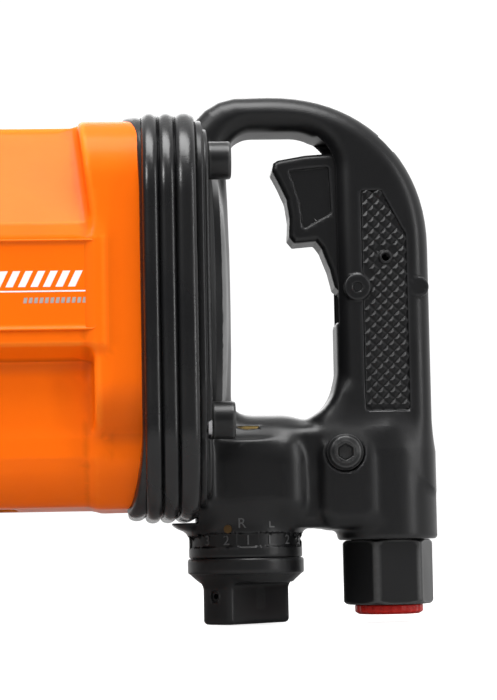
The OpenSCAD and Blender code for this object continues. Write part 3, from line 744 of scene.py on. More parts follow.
ORANGE = Finish("orange_enamel", (0.93, 0.15, 0.002), (0.86, 0.128, 0.002), (1.0, 0.27, 0.02), 0.4,
                Pattern.PEEL, coat=0.04, specular=0.08, grain_mm=2.6, relief_mm=0.035, wear=0.55,
                rough_play=0.06, grime_and_shade=0.5)
POWDER = Finish("black_powder_coat", (0.0055, 0.0055, 0.006), (0.0035, 0.0035, 0.004), (0.028, 0.028, 0.029),
                0.35, specular=0.33, grain_mm=0.55, relief_mm=0.03, wear=0.35, rough_play=0.08)
ALUMINIUM = Finish("cast_aluminium", (0.56, 0.57, 0.58), (0.46, 0.47, 0.48), (0.75, 0.76, 0.77), 0.42,
                   metal=1.0, grain_mm=0.9, relief_mm=0.06, wear=0.8)
BUMPER = Finish("bumper_rubber", (0.006, 0.006, 0.007), (0.004, 0.004, 0.004), (0.015, 0.015, 0.015), 0.27,
                Pattern.PEEL, specular=0.42, grain_mm=1.4, relief_mm=0.03, wear=0.25)
GRIP = Finish("grip_rubber", (0.014, 0.014, 0.014), (0.01, 0.01, 0.01), (0.04, 0.04, 0.04), 0.62,
              grain_mm=0.5, relief_mm=0.05, wear=0.3)
SEAL = Finish("seal_rubber", (0.015, 0.015, 0.016), (0.01, 0.01, 0.01), (0.03, 0.03, 0.03), 0.5,
              Pattern.PEEL, grain_mm=0.6, relief_mm=0.02)
PLATE = Finish("plate_steel", (0.5, 0.5, 0.5), (0.4, 0.4, 0.41), (0.7, 0.7, 0.7), 0.34, Pattern.BRUSHED,
               metal=1.0, grain_mm=0.5, relief_mm=0.012)
BEARING = Finish("bearing_steel", (0.68, 0.68, 0.69), (0.6, 0.6, 0.61), (0.8, 0.8, 0.8), 0.16,
                 Pattern.BRUSHED, metal=1.0, grain_mm=0.3, relief_mm=0.004, rough_play=0.05)
MACHINED = Finish("machined_steel", (0.46, 0.46, 0.47), (0.36, 0.36, 0.37), (0.66, 0.66, 0.66), 0.3,
                  Pattern.BRUSHED, metal=1.0, grain_mm=0.6, relief_mm=0.012)
BLACKED = Finish("black_oxide_steel", (0.006, 0.006, 0.0065), (0.004, 0.004, 0.0045), (0.07, 0.07, 0.07),
                 0.34, metal=0.1, specular=0.4, grain_mm=0.5, relief_mm=0.02, wear=0.5, rough_play=0.1)
BRONZE = Finish("bearing_bronze", (0.5, 0.3, 0.13), (0.4, 0.22, 0.09), (0.7, 0.46, 0.22), 0.33,
                Pattern.BRUSHED, metal=1.0, grain_mm=0.4, relief_mm=0.01)
OLD_BRASS = Finish("tarnished_brass", (0.12, 0.07, 0.025), (0.07, 0.04, 0.015), (0.4, 0.28, 0.1), 0.45,
                   metal=0.8, grain_mm=0.4, relief_mm=0.02)
BRASS = Finish("brass", (0.75, 0.55, 0.22), (0.62, 0.43, 0.16), (0.9, 0.7, 0.32), 0.26, Pattern.BRUSHED,
               metal=1.0, grain_mm=0.4, relief_mm=0.008)
GASKET = Finish("gasket_sheet", (0.07, 0.075, 0.07), (0.045, 0.05, 0.045), (0.12, 0.12, 0.11), 0.85,
                grain_mm=0.4, relief_mm=0.04)
BLADE = Finish("blade_laminate", (0.22, 0.1, 0.04), (0.14, 0.06, 0.025), (0.32, 0.17, 0.08), 0.5,
               Pattern.LAMINATE, grain_mm=0.7, relief_mm=0.02)
RED = Finish("red_plastic", (0.56, 0.014, 0.008), (0.46, 0.01, 0.006), (0.7, 0.05, 0.03), 0.36,
             Pattern.PEEL, specular=0.25, grain_mm=1.2, relief_mm=0.02, wear=0.3, rough_play=0.06)
WHITE_PRINT = Finish("white_print", (0.86, 0.85, 0.83), (0.78, 0.77, 0.75), (0.9, 0.9, 0.9), 0.4,
                     Pattern.PEEL, grain_mm=0.8, relief_mm=0.01)
GREY_PRINT = Finish("grey_print", (0.42, 0.36, 0.32), (0.34, 0.28, 0.24), (0.5, 0.45, 0.4), 0.45,
                    Pattern.PEEL, grain_mm=0.8, relief_mm=0.01)
# The figures are cast in the casting's black; their lighter grey is a painted highlight.
DIAL_FIGURE_HIGHLIGHT = Finish("dial_figures_painted_highlight", (0.07, 0.07, 0.072), (0.05, 0.05, 0.05), (0.1, 0.1, 0.1), 0.4,
                    grain_mm=0.4, relief_mm=0.02)
FLOOR = Finish("studio_floor", (0.4, 0.4, 0.4), (0.38, 0.38, 0.38), (0.4, 0.4, 0.4), 0.75, Pattern.PEEL,
               specular=0.1, grain_mm=6.0, relief_mm=0.01, rough_play=0.02)

NODE_FINISH: dict[str, Finish] = {"trigger_pin": BLACKED, "knob_set_screw": BLACKED, "pointer_pin": OLD_BRASS}
SLOT_FINISH: dict[str, Finish] = {
    "orange_paint": ORANGE, "black_casting": POWDER, "case_aluminium": ALUMINIUM,
    "plate_steel": PLATE, "bearing_steel": BEARING, "machined_steel": MACHINED,
    "black_steel": BLACKED, "bumper_rubber": BUMPER, "grip_rubber": GRIP, "seal_rubber": SEAL,
    "bronze": BRONZE, "brass": BRASS, "gasket_sheet": GASKET, "blade_composite": BLADE,
    "red_plastic": RED,
}


@dataclass
class GeometryTree:
    """A geometry node tree that is built, run once and turned into a plain mesh."""

    name: str
    wiring: Wiring = field(init=False)
    inputs: dict[str, str] = field(default_factory=dict)

    def __post_init__(self) -> None:
        """Starts the tree with its geometry sockets."""
        self.wiring = Wiring(bpy.data.node_groups.new(self.name, "GeometryNodeTree"))
        self.wiring.socket("Geometry", GEOMETRY)
        self.wiring.socket("Geometry", GEOMETRY, output=True)

    def add_input(self, name: str, kind: str, default: object = None) -> None:
        """Adds a named input."""
        self.inputs[name] = self.wiring.socket(name, kind, default)

    def close(self, geometry: Socket, inlet: bpy.types.Node) -> None:
        """Ends the tree by realizing its instances and giving them their material.

        Args:
            geometry: The instances.
            inlet: Node that holds the tree's inputs.
        """
        real = self.wiring.node("GeometryNodeRealizeInstances", {0: geometry})
        dressed = self.wiring.node(
            "GeometryNodeSetMaterial", {"Geometry": real.outputs[0], "Material": inlet.outputs["Finish"]}
        )
        self.wiring.node("NodeGroupOutput", {0: dressed.outputs[0]})

    def run(self, name: str, carrier: Piece, values: dict[str, object]) -> Piece:
        """Runs the tree on a carrier and keeps only the mesh that comes out.

        Args:
            name: Name of the new piece.
            carrier: Object that the tree works on, which is used up.
            values: Input values by name.

        Returns:
            The piece.
        """
        modifier = carrier.modifiers.new(self.name, "NODES")
        modifier.node_group = self.wiring.tree
        for key, value in values.items():
            modifier[self.inputs[key]] = value
        bpy.context.view_layer.update()
        graph = bpy.context.evaluated_depsgraph_get()
        mesh = bpy.data.meshes.new_from_object(carrier.evaluated_get(graph), depsgraph=graph)
        carrier.modifiers.remove(modifier)
        bpy.data.objects.remove(carrier)
        mesh.name = name
        piece = bpy.data.objects.new(name, mesh)
        bpy.context.scene.collection.objects.link(piece)
        return piece


def setting_out_tree() -> GeometryTree:
    """Makes a tree that puts one shape on every point of its carrier, turned as the point says.

    Returns:
        The tree.
    """
    tree = GeometryTree("setting_out")
    for label, kind in (("Shape", OBJECT), ("Size", FLOAT), ("Finish", MATERIAL)):
        tree.add_input(label, kind)
    wiring = tree.wiring
    inlet = wiring.node("NodeGroupInput")
    spots = wiring.node("GeometryNodeMeshToPoints", {"Mesh": inlet.outputs["Geometry"]})
    shape = wiring.node("GeometryNodeObjectInfo", {"Object": inlet.outputs["Shape"]})
    turn = wiring.node("GeometryNodeInputNamedAttribute", {"Name": "turn"}, data_type="FLOAT_VECTOR")
    rotation = wiring.node("FunctionNodeEulerToRotation", {0: turn.outputs["Attribute"]})
    size = wiring.node("ShaderNodeCombineXYZ", {i: inlet.outputs["Size"] for i in range(3)})
    spread = wiring.node(
        "GeometryNodeInstanceOnPoints",
        {"Points": spots.outputs[0], "Instance": shape.outputs["Geometry"],
         "Rotation": rotation.outputs[0], "Scale": size.outputs[0]},
    )
    tree.close(spread.outputs[0], inlet)
    return tree


def set_out(name: str, shape: Piece, places: Sequence[Sequence[float]],
            turns: Sequence[Sequence[float]], finish: Finish) -> Piece:
    """Sets copies of a shape on places, by Geometry Nodes.

    Args:
        name: Name of the piece.
        shape: Object that is copied and then removed.
        places: Where each copy goes.
        turns: Turn of each copy, in degrees about X, Y and Z.
        finish: Finish of the copies.

    Returns:
        One piece that holds all the copies.
    """
    carrier = mesh_object(f"{name}_places", np.array(places, float), [])
    turn = carrier.data.attributes.new("turn", "FLOAT_VECTOR", "POINT")
    turn.data.foreach_set("vector", np.radians(np.array(turns, float)).ravel())
    values = {"Shape": shape, "Size": 1.0, "Finish": finish.material()}
    piece = setting_out_tree().run(name, carrier, values)
    bpy.data.objects.remove(shape)
    return piece


@dataclass(frozen=True)
class Knurl:
    """A field of low pyramids in staggered rows, cut off at its border and round bosses."""

    pitch: float = 5.2
    height: float = 0.75
    corner_slant: float = 1.85
    columns: int = 4
    rows: int = 37
    rear: float = 538.6

    def build(self, name: str, corner: Sequence[float], top_corner: Point,
              bosses: Sequence[tuple[float, float, float]], finish: Finish) -> Piece:
        """Builds the field on a face that looks to -Y.

        Args:
            name: Name of the piece.
            corner: Front lower corner of the field.
            top_corner: A point on the slanting cut at its top.
            bosses: Centre and clear radius of each boss.
            finish: Its finish.

        Returns:
            The piece.
        """
        tree = GeometryTree("knurl")
        kinds = {"Pitch": FLOAT, "Height": FLOAT, "Slant": FLOAT, "Columns": INTEGER, "Rows": INTEGER,
                 "Finish": MATERIAL}
        for label, kind in kinds.items():
            tree.add_input(label, kind)
        wiring, math_of = tree.wiring, tree.wiring.math
        inlet = wiring.node("NodeGroupInput")
        get = inlet.outputs
        count = math_of("MULTIPLY", get["Columns"], get["Rows"])
        line = wiring.node("GeometryNodeMeshLine", {"Count": count, "Offset": (0, 0, 0)}, mode="OFFSET")
        index = wiring.node("GeometryNodeInputIndex").outputs[0]
        row = math_of("FLOOR", math_of("DIVIDE", math_of("ADD", index, 0.5), get["Columns"]))
        column = math_of("SUBTRACT", index, math_of("MULTIPLY", row, get["Columns"]))
        stagger = math_of("MULTIPLY", math_of("MODULO", row, 2.0), 0.5)
        across = math_of("MULTIPLY", math_of("ADD", column, stagger), get["Pitch"])
        x = math_of("ADD", across, corner[0] * MM)
        z = math_of("ADD", math_of("MULTIPLY", row, math_of("MULTIPLY", get["Pitch"], 0.5)), corner[2] * MM)
        place = wiring.node("ShaderNodeCombineXYZ", {0: x, 1: corner[1] * MM, 2: z}).outputs[0]
        moved = wiring.node("GeometryNodeSetPosition", {"Geometry": line.outputs[0], "Position": place})
        slant_limit = (top_corner[1] + top_corner[0] * self.corner_slant) * MM
        drop = math_of("GREATER_THAN", math_of("ADD", z, math_of("MULTIPLY", x, get["Slant"])), slant_limit)
        drop = math_of("MAXIMUM", drop, math_of("GREATER_THAN", x, self.rear * MM))
        for boss_x, boss_z, clear in bosses:
            dx, dz = math_of("SUBTRACT", x, boss_x * MM), math_of("SUBTRACT", z, boss_z * MM)
            square = math_of("ADD", math_of("MULTIPLY", dx, dx), math_of("MULTIPLY", dz, dz))
            drop = math_of("MAXIMUM", drop, math_of("LESS_THAN", math_of("SQRT", square), clear * MM))
        kept = wiring.node(
            "GeometryNodeDeleteGeometry", {"Geometry": moved.outputs[0], "Selection": drop}
        )
        cone = wiring.node(
            "GeometryNodeMeshCone",
            {"Vertices": 4, "Radius Top": math_of("MULTIPLY", get["Pitch"], 0.16),
             "Radius Bottom": math_of("MULTIPLY", get["Pitch"], 0.46), "Depth": get["Height"]},
        )
        spots = wiring.node("GeometryNodeMeshToPoints", {"Mesh": kept.outputs[0]})
        spread = wiring.node(
            "GeometryNodeInstanceOnPoints",
            {"Points": spots.outputs[0], "Instance": cone.outputs[0], "Rotation": (math.pi / 2, 0, 0)},
        )
        tree.close(spread.outputs[0], inlet)
        carrier = mesh_object(f"{name}_places", np.zeros((1, 3)), [])
        values = (self.pitch * MM, self.height * MM, self.corner_slant, self.columns, self.rows)
        return tree.run(name, carrier, dict(zip(kinds, (*values, finish.material()))))


# ---- Sub-assemblies ----


class Assembly:
    """What every sub-assembly shares: dressing a piece and seating it in the frame."""

    def seat(self, piece: Piece, body: str, slot: str, *nodes: str,
             finish: Finish | None = None) -> Piece:
        """Dresses a piece and lets it ride on its body.

        Args:
            piece: The piece.
            body: Body that it moves with.
            slot: Slot that its finish stands for.
            nodes: Frame nodes that it stands for.
            finish: Its finish, where it differs from the slot's.

        Returns:
            The piece.
        """
        piece.data.materials.clear()
        piece.data.materials.append((finish or SLOT_FINISH[slot]).material())
        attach(piece, body)
        if nodes:
            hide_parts(*nodes)
        LOG.info("%s: %d faces on %s", piece.name, len(piece.data.polygons), body)
        return piece


def housing_outline() -> Outline:
    """Cross-section of the rear flange with the exhaust chamber below it, over Y and Z."""
    flange = Outline.rect(-77, 77, -67, 73, 28)
    return flange.join(Outline.rect(-66, 66, -90, -20, 20), 1.5)


@dataclass
class MotorHousing(Assembly):
    """The orange casting round the air motor, with its label fields."""

    front: float = 292.6
    rear: float = 445.0
    ridge: float = 402.6
    side: float = 77.0
    field: tuple[float, float, float, float] = (316.0, 404.9, -18.3, 19.5)

    def build(self) -> None:
        """Builds the casting and the label on each side."""
        casting = Skinner(1.05).wrap(
            "housing_casting", self._casting(), (self.front, -78, -91), (self.rear, 78, 74)
        )
        self.seat(casting, "tool", "orange_paint", "motor_housing")
        for label, sign in (("left", -1), ("right", 1)):
            self.seat(self._label_field(label, sign), "tool", "orange_paint")
            self.seat(self._bars(label, sign), "tool", "orange_paint", finish=WHITE_PRINT)
            self.seat(self._ticks(label, sign), "tool", "orange_paint", finish=GREY_PRINT)

    def _casting(self) -> Solid:
        """The casting: slanted upper corners and hollowed lower sides ahead of a full flange.

        Returns:
            The solid.
        """
        half = [(38, 73), (74, 27), (77, 20), (77, -24), (67, -30), (62, -38), (62, -52), (66, -62),
                (66, -72)]
        barrel = Solid.pushed(Outline.mirrored(half, 2.5), Axis.X, self.front, self.ridge + 4)
        flange = Solid.pushed(housing_outline(), Axis.X, self.ridge - 8, self.rear, 1.5)
        wall = Solid(lambda p: self.ridge - 0.13 * np.clip(p[2] - 24, 0, 60) - p[0])
        chamber = Solid.pushed(Outline.rect(-66, 66, -90, -20, 20), Axis.X, 318, self.rear, 2.5)
        front_flange = Solid.pushed(Outline.rect(-70, 70, -68, 70, 16), Axis.X, self.front, 309, 1.5)
        body = barrel.join(chamber, 2.5).join(flange.meet(wall, 3.0), 4.5).join(front_flange, 4.0)
        body = body.cut(Solid.rod(Axis.X, (0, 0), 40, 303, self.rear + 5))
        body = body.cut(Solid.rod(Axis.X, (0, 0), 26, self.front - 5, 305))
        body = body.cut(Solid.pushed(Outline.rect(-52, 52, -83, -58, 8), Axis.X, 326, 437, 3))
        outlet = Solid.pushed(Outline.rect(330, 366, -26, 26, 3), Axis.Z, -95, -78)
        return body.cut(outlet, 1.0)

    def _ring(self, inset: float, y: float) -> Array:
        """A rounded rectangle inside the label field.

        Args:
            inset: How far it lies inside the field's edge.
            y: Where it lies across the tool.

        Returns:
            Its points in order.
        """
        x0, x1, z0, z1 = self.field
        radius = max(3.0 - inset * 0.6, 0.5)
        x0, x1, z0, z1 = x0 + inset, x1 - inset, z0 + inset, z1 - inset
        points = []
        for cx, cz, start in ((x1 - radius, z1 - radius, 0), (x0 + radius, z1 - radius, 90),
                              (x0 + radius, z0 + radius, 180), (x1 - radius, z0 + radius, 270)):
            for i in range(9):
                t = math.radians(start + i * 11.25)
                points.append((cx + radius * math.cos(t), y, cz + radius * math.sin(t)))
        return np.array(points)

    def _label_field(self, label: str, sign: int) -> Piece:
        """The raised rim of a label field and the face inside it.

        Args:
            label: Side of the tool, for the name.
            sign: 1 on the right, -1 on the left.

        Returns:
            The piece.
        """
        steps = ((0.0, -2.0), (0.0, 0.5), (0.2, 0.95), (0.55, 1.15), (0.9, 1.0), (1.15, 0.2), (3.0, 0.12),
                 (6.0, 0.12))
        rows = [self._ring(inset, sign * (self.side + out)) for inset, out in steps]
        return loft(f"label_field_{label}", np.array(rows), closed=False)

    def _strips(self, name: str, strips: Sequence[tuple[float, float, float, float, float]],
                sign: int, out: float) -> Piece:
        """Thin printed strips on one side of the housing.

        Args:
            name: Name of the piece.
            strips: Each strip's x0, x1, z0 and z1, and how far its top leans to the rear.
            sign: 1 on the right, -1 on the left.
            out: How far the print stands out.

        Returns:
            The piece.
        """
        points: list[tuple[float, float, float]] = []
        faces: list[list[int]] = []
        middle = (self.field[0] + self.field[1]) / 2
        for x0, x1, z0, z1, slant in strips:
            base = len(points)
            for depth in (-0.2, out):
                for x, z in ((x0, z0), (x1, z0), (x1 + slant, z1), (x0 + slant, z1)):
                    at = x if sign < 0 else 2 * middle - x
                    points.append((at, sign * (self.side + depth), z))
            faces += [[base + j for j in f] for f in (
                (4, 5, 6, 7), (0, 1, 5, 4), (1, 2, 6, 5), (2, 3, 7, 6), (3, 0, 4, 7))]
        return mesh_object(name, np.array(points), faces, smooth=False)

    def _bars(self, label: str, sign: int) -> Piece:
        """Slanted white bars over a white rule."""
        strips = [(326.0, 402.0, -2.3, -1.7, 0.0)]
        strips += [(326.0 + 5.1 * i, 329.0 + 5.1 * i, -0.2, 6.4, 3.2) for i in range(14)]
        return self._strips(f"label_bars_{label}", strips, sign, 0.2)

    def _ticks(self, label: str, sign: int) -> Piece:
        """A row of small grey ticks under the rule."""
        strips = [(374 + 2.2 * i, 375.4 + 2.2 * i, -6.9, -4.6, 0.4) for i in range(12)]
        return self._strips(f"label_ticks_{label}", strips, sign, 0.19)


@dataclass
class BumperSleeve(Assembly):
    """The ribbed rubber bumper round the rear flange."""

    half_width: float = 86.0
    bottom: float = -96.1
    top: float = 77.6
    corner: float = 38.0
    top_corner: float = 41.0
    front: float = 415.4
    rear: float = 445.5
    grooves: tuple[float, float, float] = (423.3, 430.2, 437.1)
    depth: float = 3.1
    lip_back: float = 6.6
    lip_in: float = 3.4

    def build(self) -> None:
        """Builds the sleeve."""
        spots, outward = self._path()
        lean = np.abs(outward[:, 0]) ** 0.9
        rows = []
        for x, out, is_lip in self._profile():
            shift = np.where(is_lip, lean, 0.0)
            at_x = np.minimum(x + self.lip_back * shift, self.grooves[0] if is_lip else x)
            off = out - self.lip_in * shift
            yz = spots + outward * off[:, None]
            rows.append(np.stack([at_x, yz[:, 0], yz[:, 1]], 1))
        sleeve = loft("bumper_sleeve", np.array(rows))
        self.seat(sleeve, "tool", "bumper_rubber", "rubber_bumper")

    def _path(self) -> tuple[Array, Array]:
        """Sets out the sleeve's outside, seen along the motor.

        Returns:
            Points over Y and Z, and their outward directions.
        """
        w, t, b, r, s = self.half_width, self.top, self.bottom, self.corner, self.top_corner
        spots: list[Array] = []
        outward: list[Point] = []
        corners = ((w - s, t - s, s, 0), (-w + s, t - s, s, 90),
                   (-w + r, b + r, r, 180), (w - r, b + r, r, 270))
        for number, (cy, cz, radius, start) in enumerate(corners):
            for i in range(33):
                a = math.radians(start + i * 90 / 32)
                outward.append((math.cos(a), math.sin(a)))
                spots.append(np.array((cy, cz)) + radius * np.array(outward[-1]))
            ny, nz, next_radius, _ = corners[(number + 1) % 4]
            here, end = spots[-1], np.array((ny, nz)) + next_radius * np.array(outward[-1])
            for i in range(1, 16):
                spots.append(here + (end - here) * i / 16)
                outward.append(outward[-1])
        return np.array(spots), np.array(outward)

    def _profile(self) -> list[tuple[float, float, bool]]:
        """Sets out the sleeve's section.

        Returns:
            X, distance out of the outer line, and whether it is on the lip, for each point.
        """
        points: list[tuple[float, float, bool]] = [(self.rear, -24.0, False), (self.rear, -6.0, False)]
        edges = (*reversed(self.grooves), self.front)
        start = self.rear
        for number, end in enumerate(edges):
            lip = number == 3
            mid, half = (start + end) / 2, (start - end) / 2
            for i in range(15):
                a = math.pi * (i + 0.5) / 15
                bulge = math.sin(a) ** 0.8
                sunk = self.depth * (1 - bulge) + (1.2 if lip else 0)
                points.append((mid + half * math.cos(a), -sunk, lip))
            start = end
        points += [(self.front, -7.0, True), (self.front, -24.0, True)]
        return points


@dataclass
class BackHead(Assembly):
    """The black rear casting: flange, dome, D-handle, lower bar, regulator and inlet bosses."""

    handle_w: float = 34.0
    reg_x: float = 467.0
    boss_r: float = 24.95
    inlet_x: float = 530.0
    pin: Point = (517.6, 5.1)
    oil: Point = (510.0, -67.6)
    seat_x: float = 451.0
    bolt: Point = (57.0, 54.9)

    def build(self) -> None:
        """Builds the casting with its knurled grip, figures, screws and oil plug."""
        casting = Skinner(0.85).wrap(
            "backhead_casting", self._casting(), (427, -78, -114), (553, 78, 93)
        )
        self.seat(casting, "tool", "black_casting", "backhead")
        self._knurling()
        # The figures' lighter grey is a painted highlight on the raised casting.
        self.seat(self._figures(), "tool", "black_casting", finish=DIAL_FIGURE_HIGHLIGHT)
        screws = set_out(
            "backhead_screws", cap_screw_shape(),
            [(self.seat_x, sy * self.bolt[0], sz * self.bolt[1]) for sy, sz in CORNERS],
            [(18.0 * i, 0, 0) for i in range(4)], BLACKED,
        )
        self.seat(screws, "tool", "black_steel", "backhead_bolts")
        plug = Skinner(0.4).wrap("oil_filler_plug", self._oil_plug(), (501, -27, -77), (519, -11, -59))
        self.seat(plug, "tool", "black_steel", "oil_plug")

    def _handle(self) -> Solid:
        """The D of the handle, pushed across the hand with a big edge radius.

        Returns:
            The solid.
        """
        rise = [(440, -70), (440, 72), (447, 80.5), (452, 85.8), (458, 89.4), (465, 91.2)]
        sweep = []
        for i in range(22):
            t = math.pi / 2 * (1 - i / 21)
            sweep.append((480 + 70 * math.cos(t) ** (2 / 2.15), 23 + 68.5 * math.sin(t) ** (2 / 2.15)))
        outline = Outline.polygon(rise + sweep + [(550, -84), (500, -84)])
        half = self.handle_w / 2
        return Solid.pushed(outline.cut(self._opening()), Axis.Y, -half, half, 9.0)

    @staticmethod
    def _opening() -> Outline:
        """The hand opening, as a belt round four discs."""
        return Outline.hull([(473, -41.4, 12), (488.5, -33.4, 20), (490.5, 57.8, 18), (473, 63.8, 12)])

    def _casting(self) -> Solid:
        """The whole casting with its bores.

        Returns:
            The solid.
        """
        plate = Solid.pushed(housing_outline(), Axis.X, 445.6, 448.8, 0.9)
        step = Solid.pushed(housing_outline().grown(-3.6), Axis.X, 446, self.seat_x, 1.2)
        half = [(66, 441), (66, 450.2), (64, 453.4), (58, 456.5), (46, 458.8), (24, 460.3), (0, 460.8)]
        dome = Solid.turned(Outline.mirrored(half), Axis.X)
        front_bar = self._bar(Outline.rect(430, 497, -101, -50, 14), 17.0, 25.5, 15.0)
        rear_bar = self._bar(Outline.rect(497.5, 526, -101, -36, 9), 15.5, 24.0, 7.0)
        rear_bar = rear_bar.cut(Solid.pushed(self._opening().grown(1.0), Axis.Y, -30, 30), 4.0)
        web = Solid.pushed(Outline.rect(480, 531, -100, -56, 4), Axis.Y, -20, 20, 5)
        body = plate.join(step, 0.6).join(dome, 2.0).join(self._handle(), 5.0)
        body = body.join(web.join(front_bar, 2.0).join(rear_bar, 2.0), 5.0)
        boss = Solid.rod(Axis.Z, (self.reg_x, 0), self.boss_r, -112.6, -62, 1.0)
        band = Outline.rect(self.boss_r - 0.7, 60, -107.8, -101.8)
        body = body.join(boss, 4.0).cut(Solid.turned(band, Axis.Z, (self.reg_x, 0)).meet(boss))
        clear = Solid.pushed(Outline.rect(400, 445.6, -97, -60), Axis.Y, -60, 60)
        body = body.cut(clear.meet(Solid.pushed(Outline.rect(-60, 60, -120, -88), Axis.X, 400, 445.6)))
        neck = [(22.1, -105.6), (22.1, -67), (20, -57), (16, -47)]
        body = body.join(Solid.turned(Outline.mirrored(neck, 1.6), Axis.Z, (self.inlet_x, 0)), 3.5)
        for sign in (-1, 1):
            y0, y1 = sorted((sign * 16.2, sign * 22))
            panel = [(520.1, -49.3), (539.6, -49.3), (539.6, 28), (529, 48), (520.1, 48)]
            body = body.cut(Solid.pushed(Outline.polygon(panel, 1.5), Axis.Y, y0, y1), 0.5)
        half_w = self.handle_w / 2
        body = body.join(Solid.rod(Axis.Y, self.pin, 6, -half_w - 0.8, half_w + 0.8, 0.8), 0.6)
        body = body.join(Solid.rod(Axis.Y, (544.8, 5), 4.4, -half_w + 0.1, half_w - 0.1, 0.6), 0.6)
        body = body.join(Solid.rod(Axis.Y, (530.5, 18.2), 3.0, -half_w - 0.1, half_w + 0.1, 0.5), 0.4)
        return self._bored(body)

    @staticmethod
    def _bar(side: Outline, top_half: float, low_half: float, edge: float) -> Solid:
        """A block under the hand opening whose flanks swell out from its top down.

        Args:
            side: Its outline seen from the side.
            top_half: Half width at its top.
            low_half: Half width below.
            edge: Radius of its long edges.

        Returns:
            The solid.
        """
        def rule(p: Array) -> Array:
            """Distance to the block.

            Args:
                p: Points, three rows.

            Returns:
                The distances.
            """
            share = np.clip((-42 - p[2]) / 30, 0, 1)
            half = top_half + (low_half - top_half) * share * share * (3 - 2 * share)
            return rounded_meet(side.rule(p[0], p[2]), abs(p[1]) - half, edge)

        return Solid(rule)

    def _bored(self, body: Solid) -> Solid:
        """Cuts the slot, screw seats, pin holes, air ways and valve bores.

        Args:
            body: The casting before them.

        Returns:
            The casting.
        """
        cuts: list[tuple[Solid, float]] = [
            (Solid.rod(Axis.Y, (530.5, 18.2), 1.7, -30, 30), 0.2),
            (Solid.rod(Axis.Y, self.pin, 2.0, -30, 30), 0.2),
            (Solid.pushed(Outline.rect(494.5, 535.5, -9.8, 73.2, 3), Axis.Y, -11.5, 11.5), 1.0),
            (Solid.rod(Axis.Y, self.oil, 8.65, -30, -22.4), 0.6),
            (Solid.rod(Axis.Y, self.oil, 5.0, -30, -11), 0.0),
            (Solid.rod(Axis.X, (0, 0), 21, 420, 436), 0.0),
            (Solid.rod(Axis.Z, (self.reg_x, 0), 18.5, -120, -55.6), 0.4),
            (Solid.rod(Axis.Z, (self.inlet_x, 0), 16, -110, -88), 0.4),
            (Solid.rod(Axis.Z, (self.inlet_x, 0), 12, -90, -63), 0.0),
            (Solid.rod(Axis.Z, (self.inlet_x, 0), 2.5, -70, -4), 0.0),
            (Solid.rod(Axis.X, (0, -72), 8, 430, 530), 0.0),
        ]
        for sy, sz in CORNERS:
            seat = Solid.rod(Axis.X, (sy * self.bolt[0], sz * self.bolt[1]), 9.2, 449.5, 470)
            cuts.append((seat, 0.4))
        for tool, blend in cuts:
            body = body.cut(tool, blend)
        return body

    def _knurling(self) -> None:
        """Sets the knurled field on both faces of the grip."""
        bosses = [(*self.pin, 8.0), (545.5, 5.0, 6.5), (530.5, 18.2, 4.2)]
        for label in ("left", "right"):
            patch = Knurl().build(
                f"grip_knurl_{label}", (522.7, -16.35, -46.6), (529.0, 45.8), bosses, POWDER
            )
            if label == "right":
                patch.data.transform(Matrix.Diagonal((1, -1, 1, 1)))
                patch.data.flip_normals()
            self.seat(patch, "tool", "black_casting")

    def _figures(self) -> Piece:
        """Raised figures on the regulator's band, with the two turning directions above, in a lighter grey
        that paints their highlight.

        Returns:
            The piece.
        """
        marks = [(t, -45 + 22.5 * i, -106.8, 4.4) for i, t in enumerate("321123")]
        marks += [("R", -6.0, -99.6, 4.6), ("L", 24.0, -99.6, 4.6)]
        points: list[Array] = []
        faces: list[list[int]] = []
        for text, degrees, z, size in marks:
            glyph, polygons = self._glyph(text, size)
            radius = self.boss_r - 0.75 if z < -101 else self.boss_r - 0.05
            turn = math.radians(degrees) + glyph[:, 0] / radius
            reach = radius + glyph[:, 2]
            base = sum(len(p) for p in points)
            points.append(np.stack(
                [self.reg_x + reach * np.sin(turn), -reach * np.cos(turn), z + glyph[:, 1]], 1
            ))
            faces += [[base + i for i in polygon] for polygon in polygons]
        return mesh_object("regulator_figures", np.concatenate(points), faces, smooth=False)

    @staticmethod
    def _glyph(text: str, size: float) -> tuple[Array, list[list[int]]]:
        """Makes one raised figure, centred.

        Args:
            text: The figure.
            size: Its height, nearly.

        Returns:
            Its points in millimetres and its faces.
        """
        curve = bpy.data.curves.new("glyph", "FONT")
        curve.body, curve.size, curve.extrude = text, size * 1.35, 0.42
        curve.align_x = "CENTER"
        holder = bpy.data.objects.new("glyph", curve)
        bpy.context.scene.collection.objects.link(holder)
        bpy.context.view_layer.update()
        graph = bpy.context.evaluated_depsgraph_get()
        mesh = bpy.data.meshes.new_from_object(holder.evaluated_get(graph))
        points = np.array([v.co[:] for v in mesh.vertices])
        polygons = [list(p.vertices) for p in mesh.polygons]
        bpy.data.objects.remove(holder)
        bpy.data.meshes.remove(mesh)
        return points, polygons

    def _oil_plug(self) -> Solid:
        """The button-headed plug of the oil reservoir, with its hexagon socket.

        Returns:
            The solid.
        """
        x, z = self.oil
        half = [(7.9, -22.8), (7.9, -23.7), (6.6, -25.3), (4.6, -26.1)]
        head = Solid.turned(Outline.mirrored(half, 0.4), Axis.Y, self.oil)
        stem = Solid.rod(Axis.Y, self.oil, 4.9, -23, -12)
        socket = Solid.pushed(Outline.hexagon(6.6), Axis.Y, -30, -23.6)
        moved = Solid(lambda p: socket.rule(np.stack([p[0] - x, p[1], p[2] - z])))
        return head.join(stem).cut(moved, 0.2)


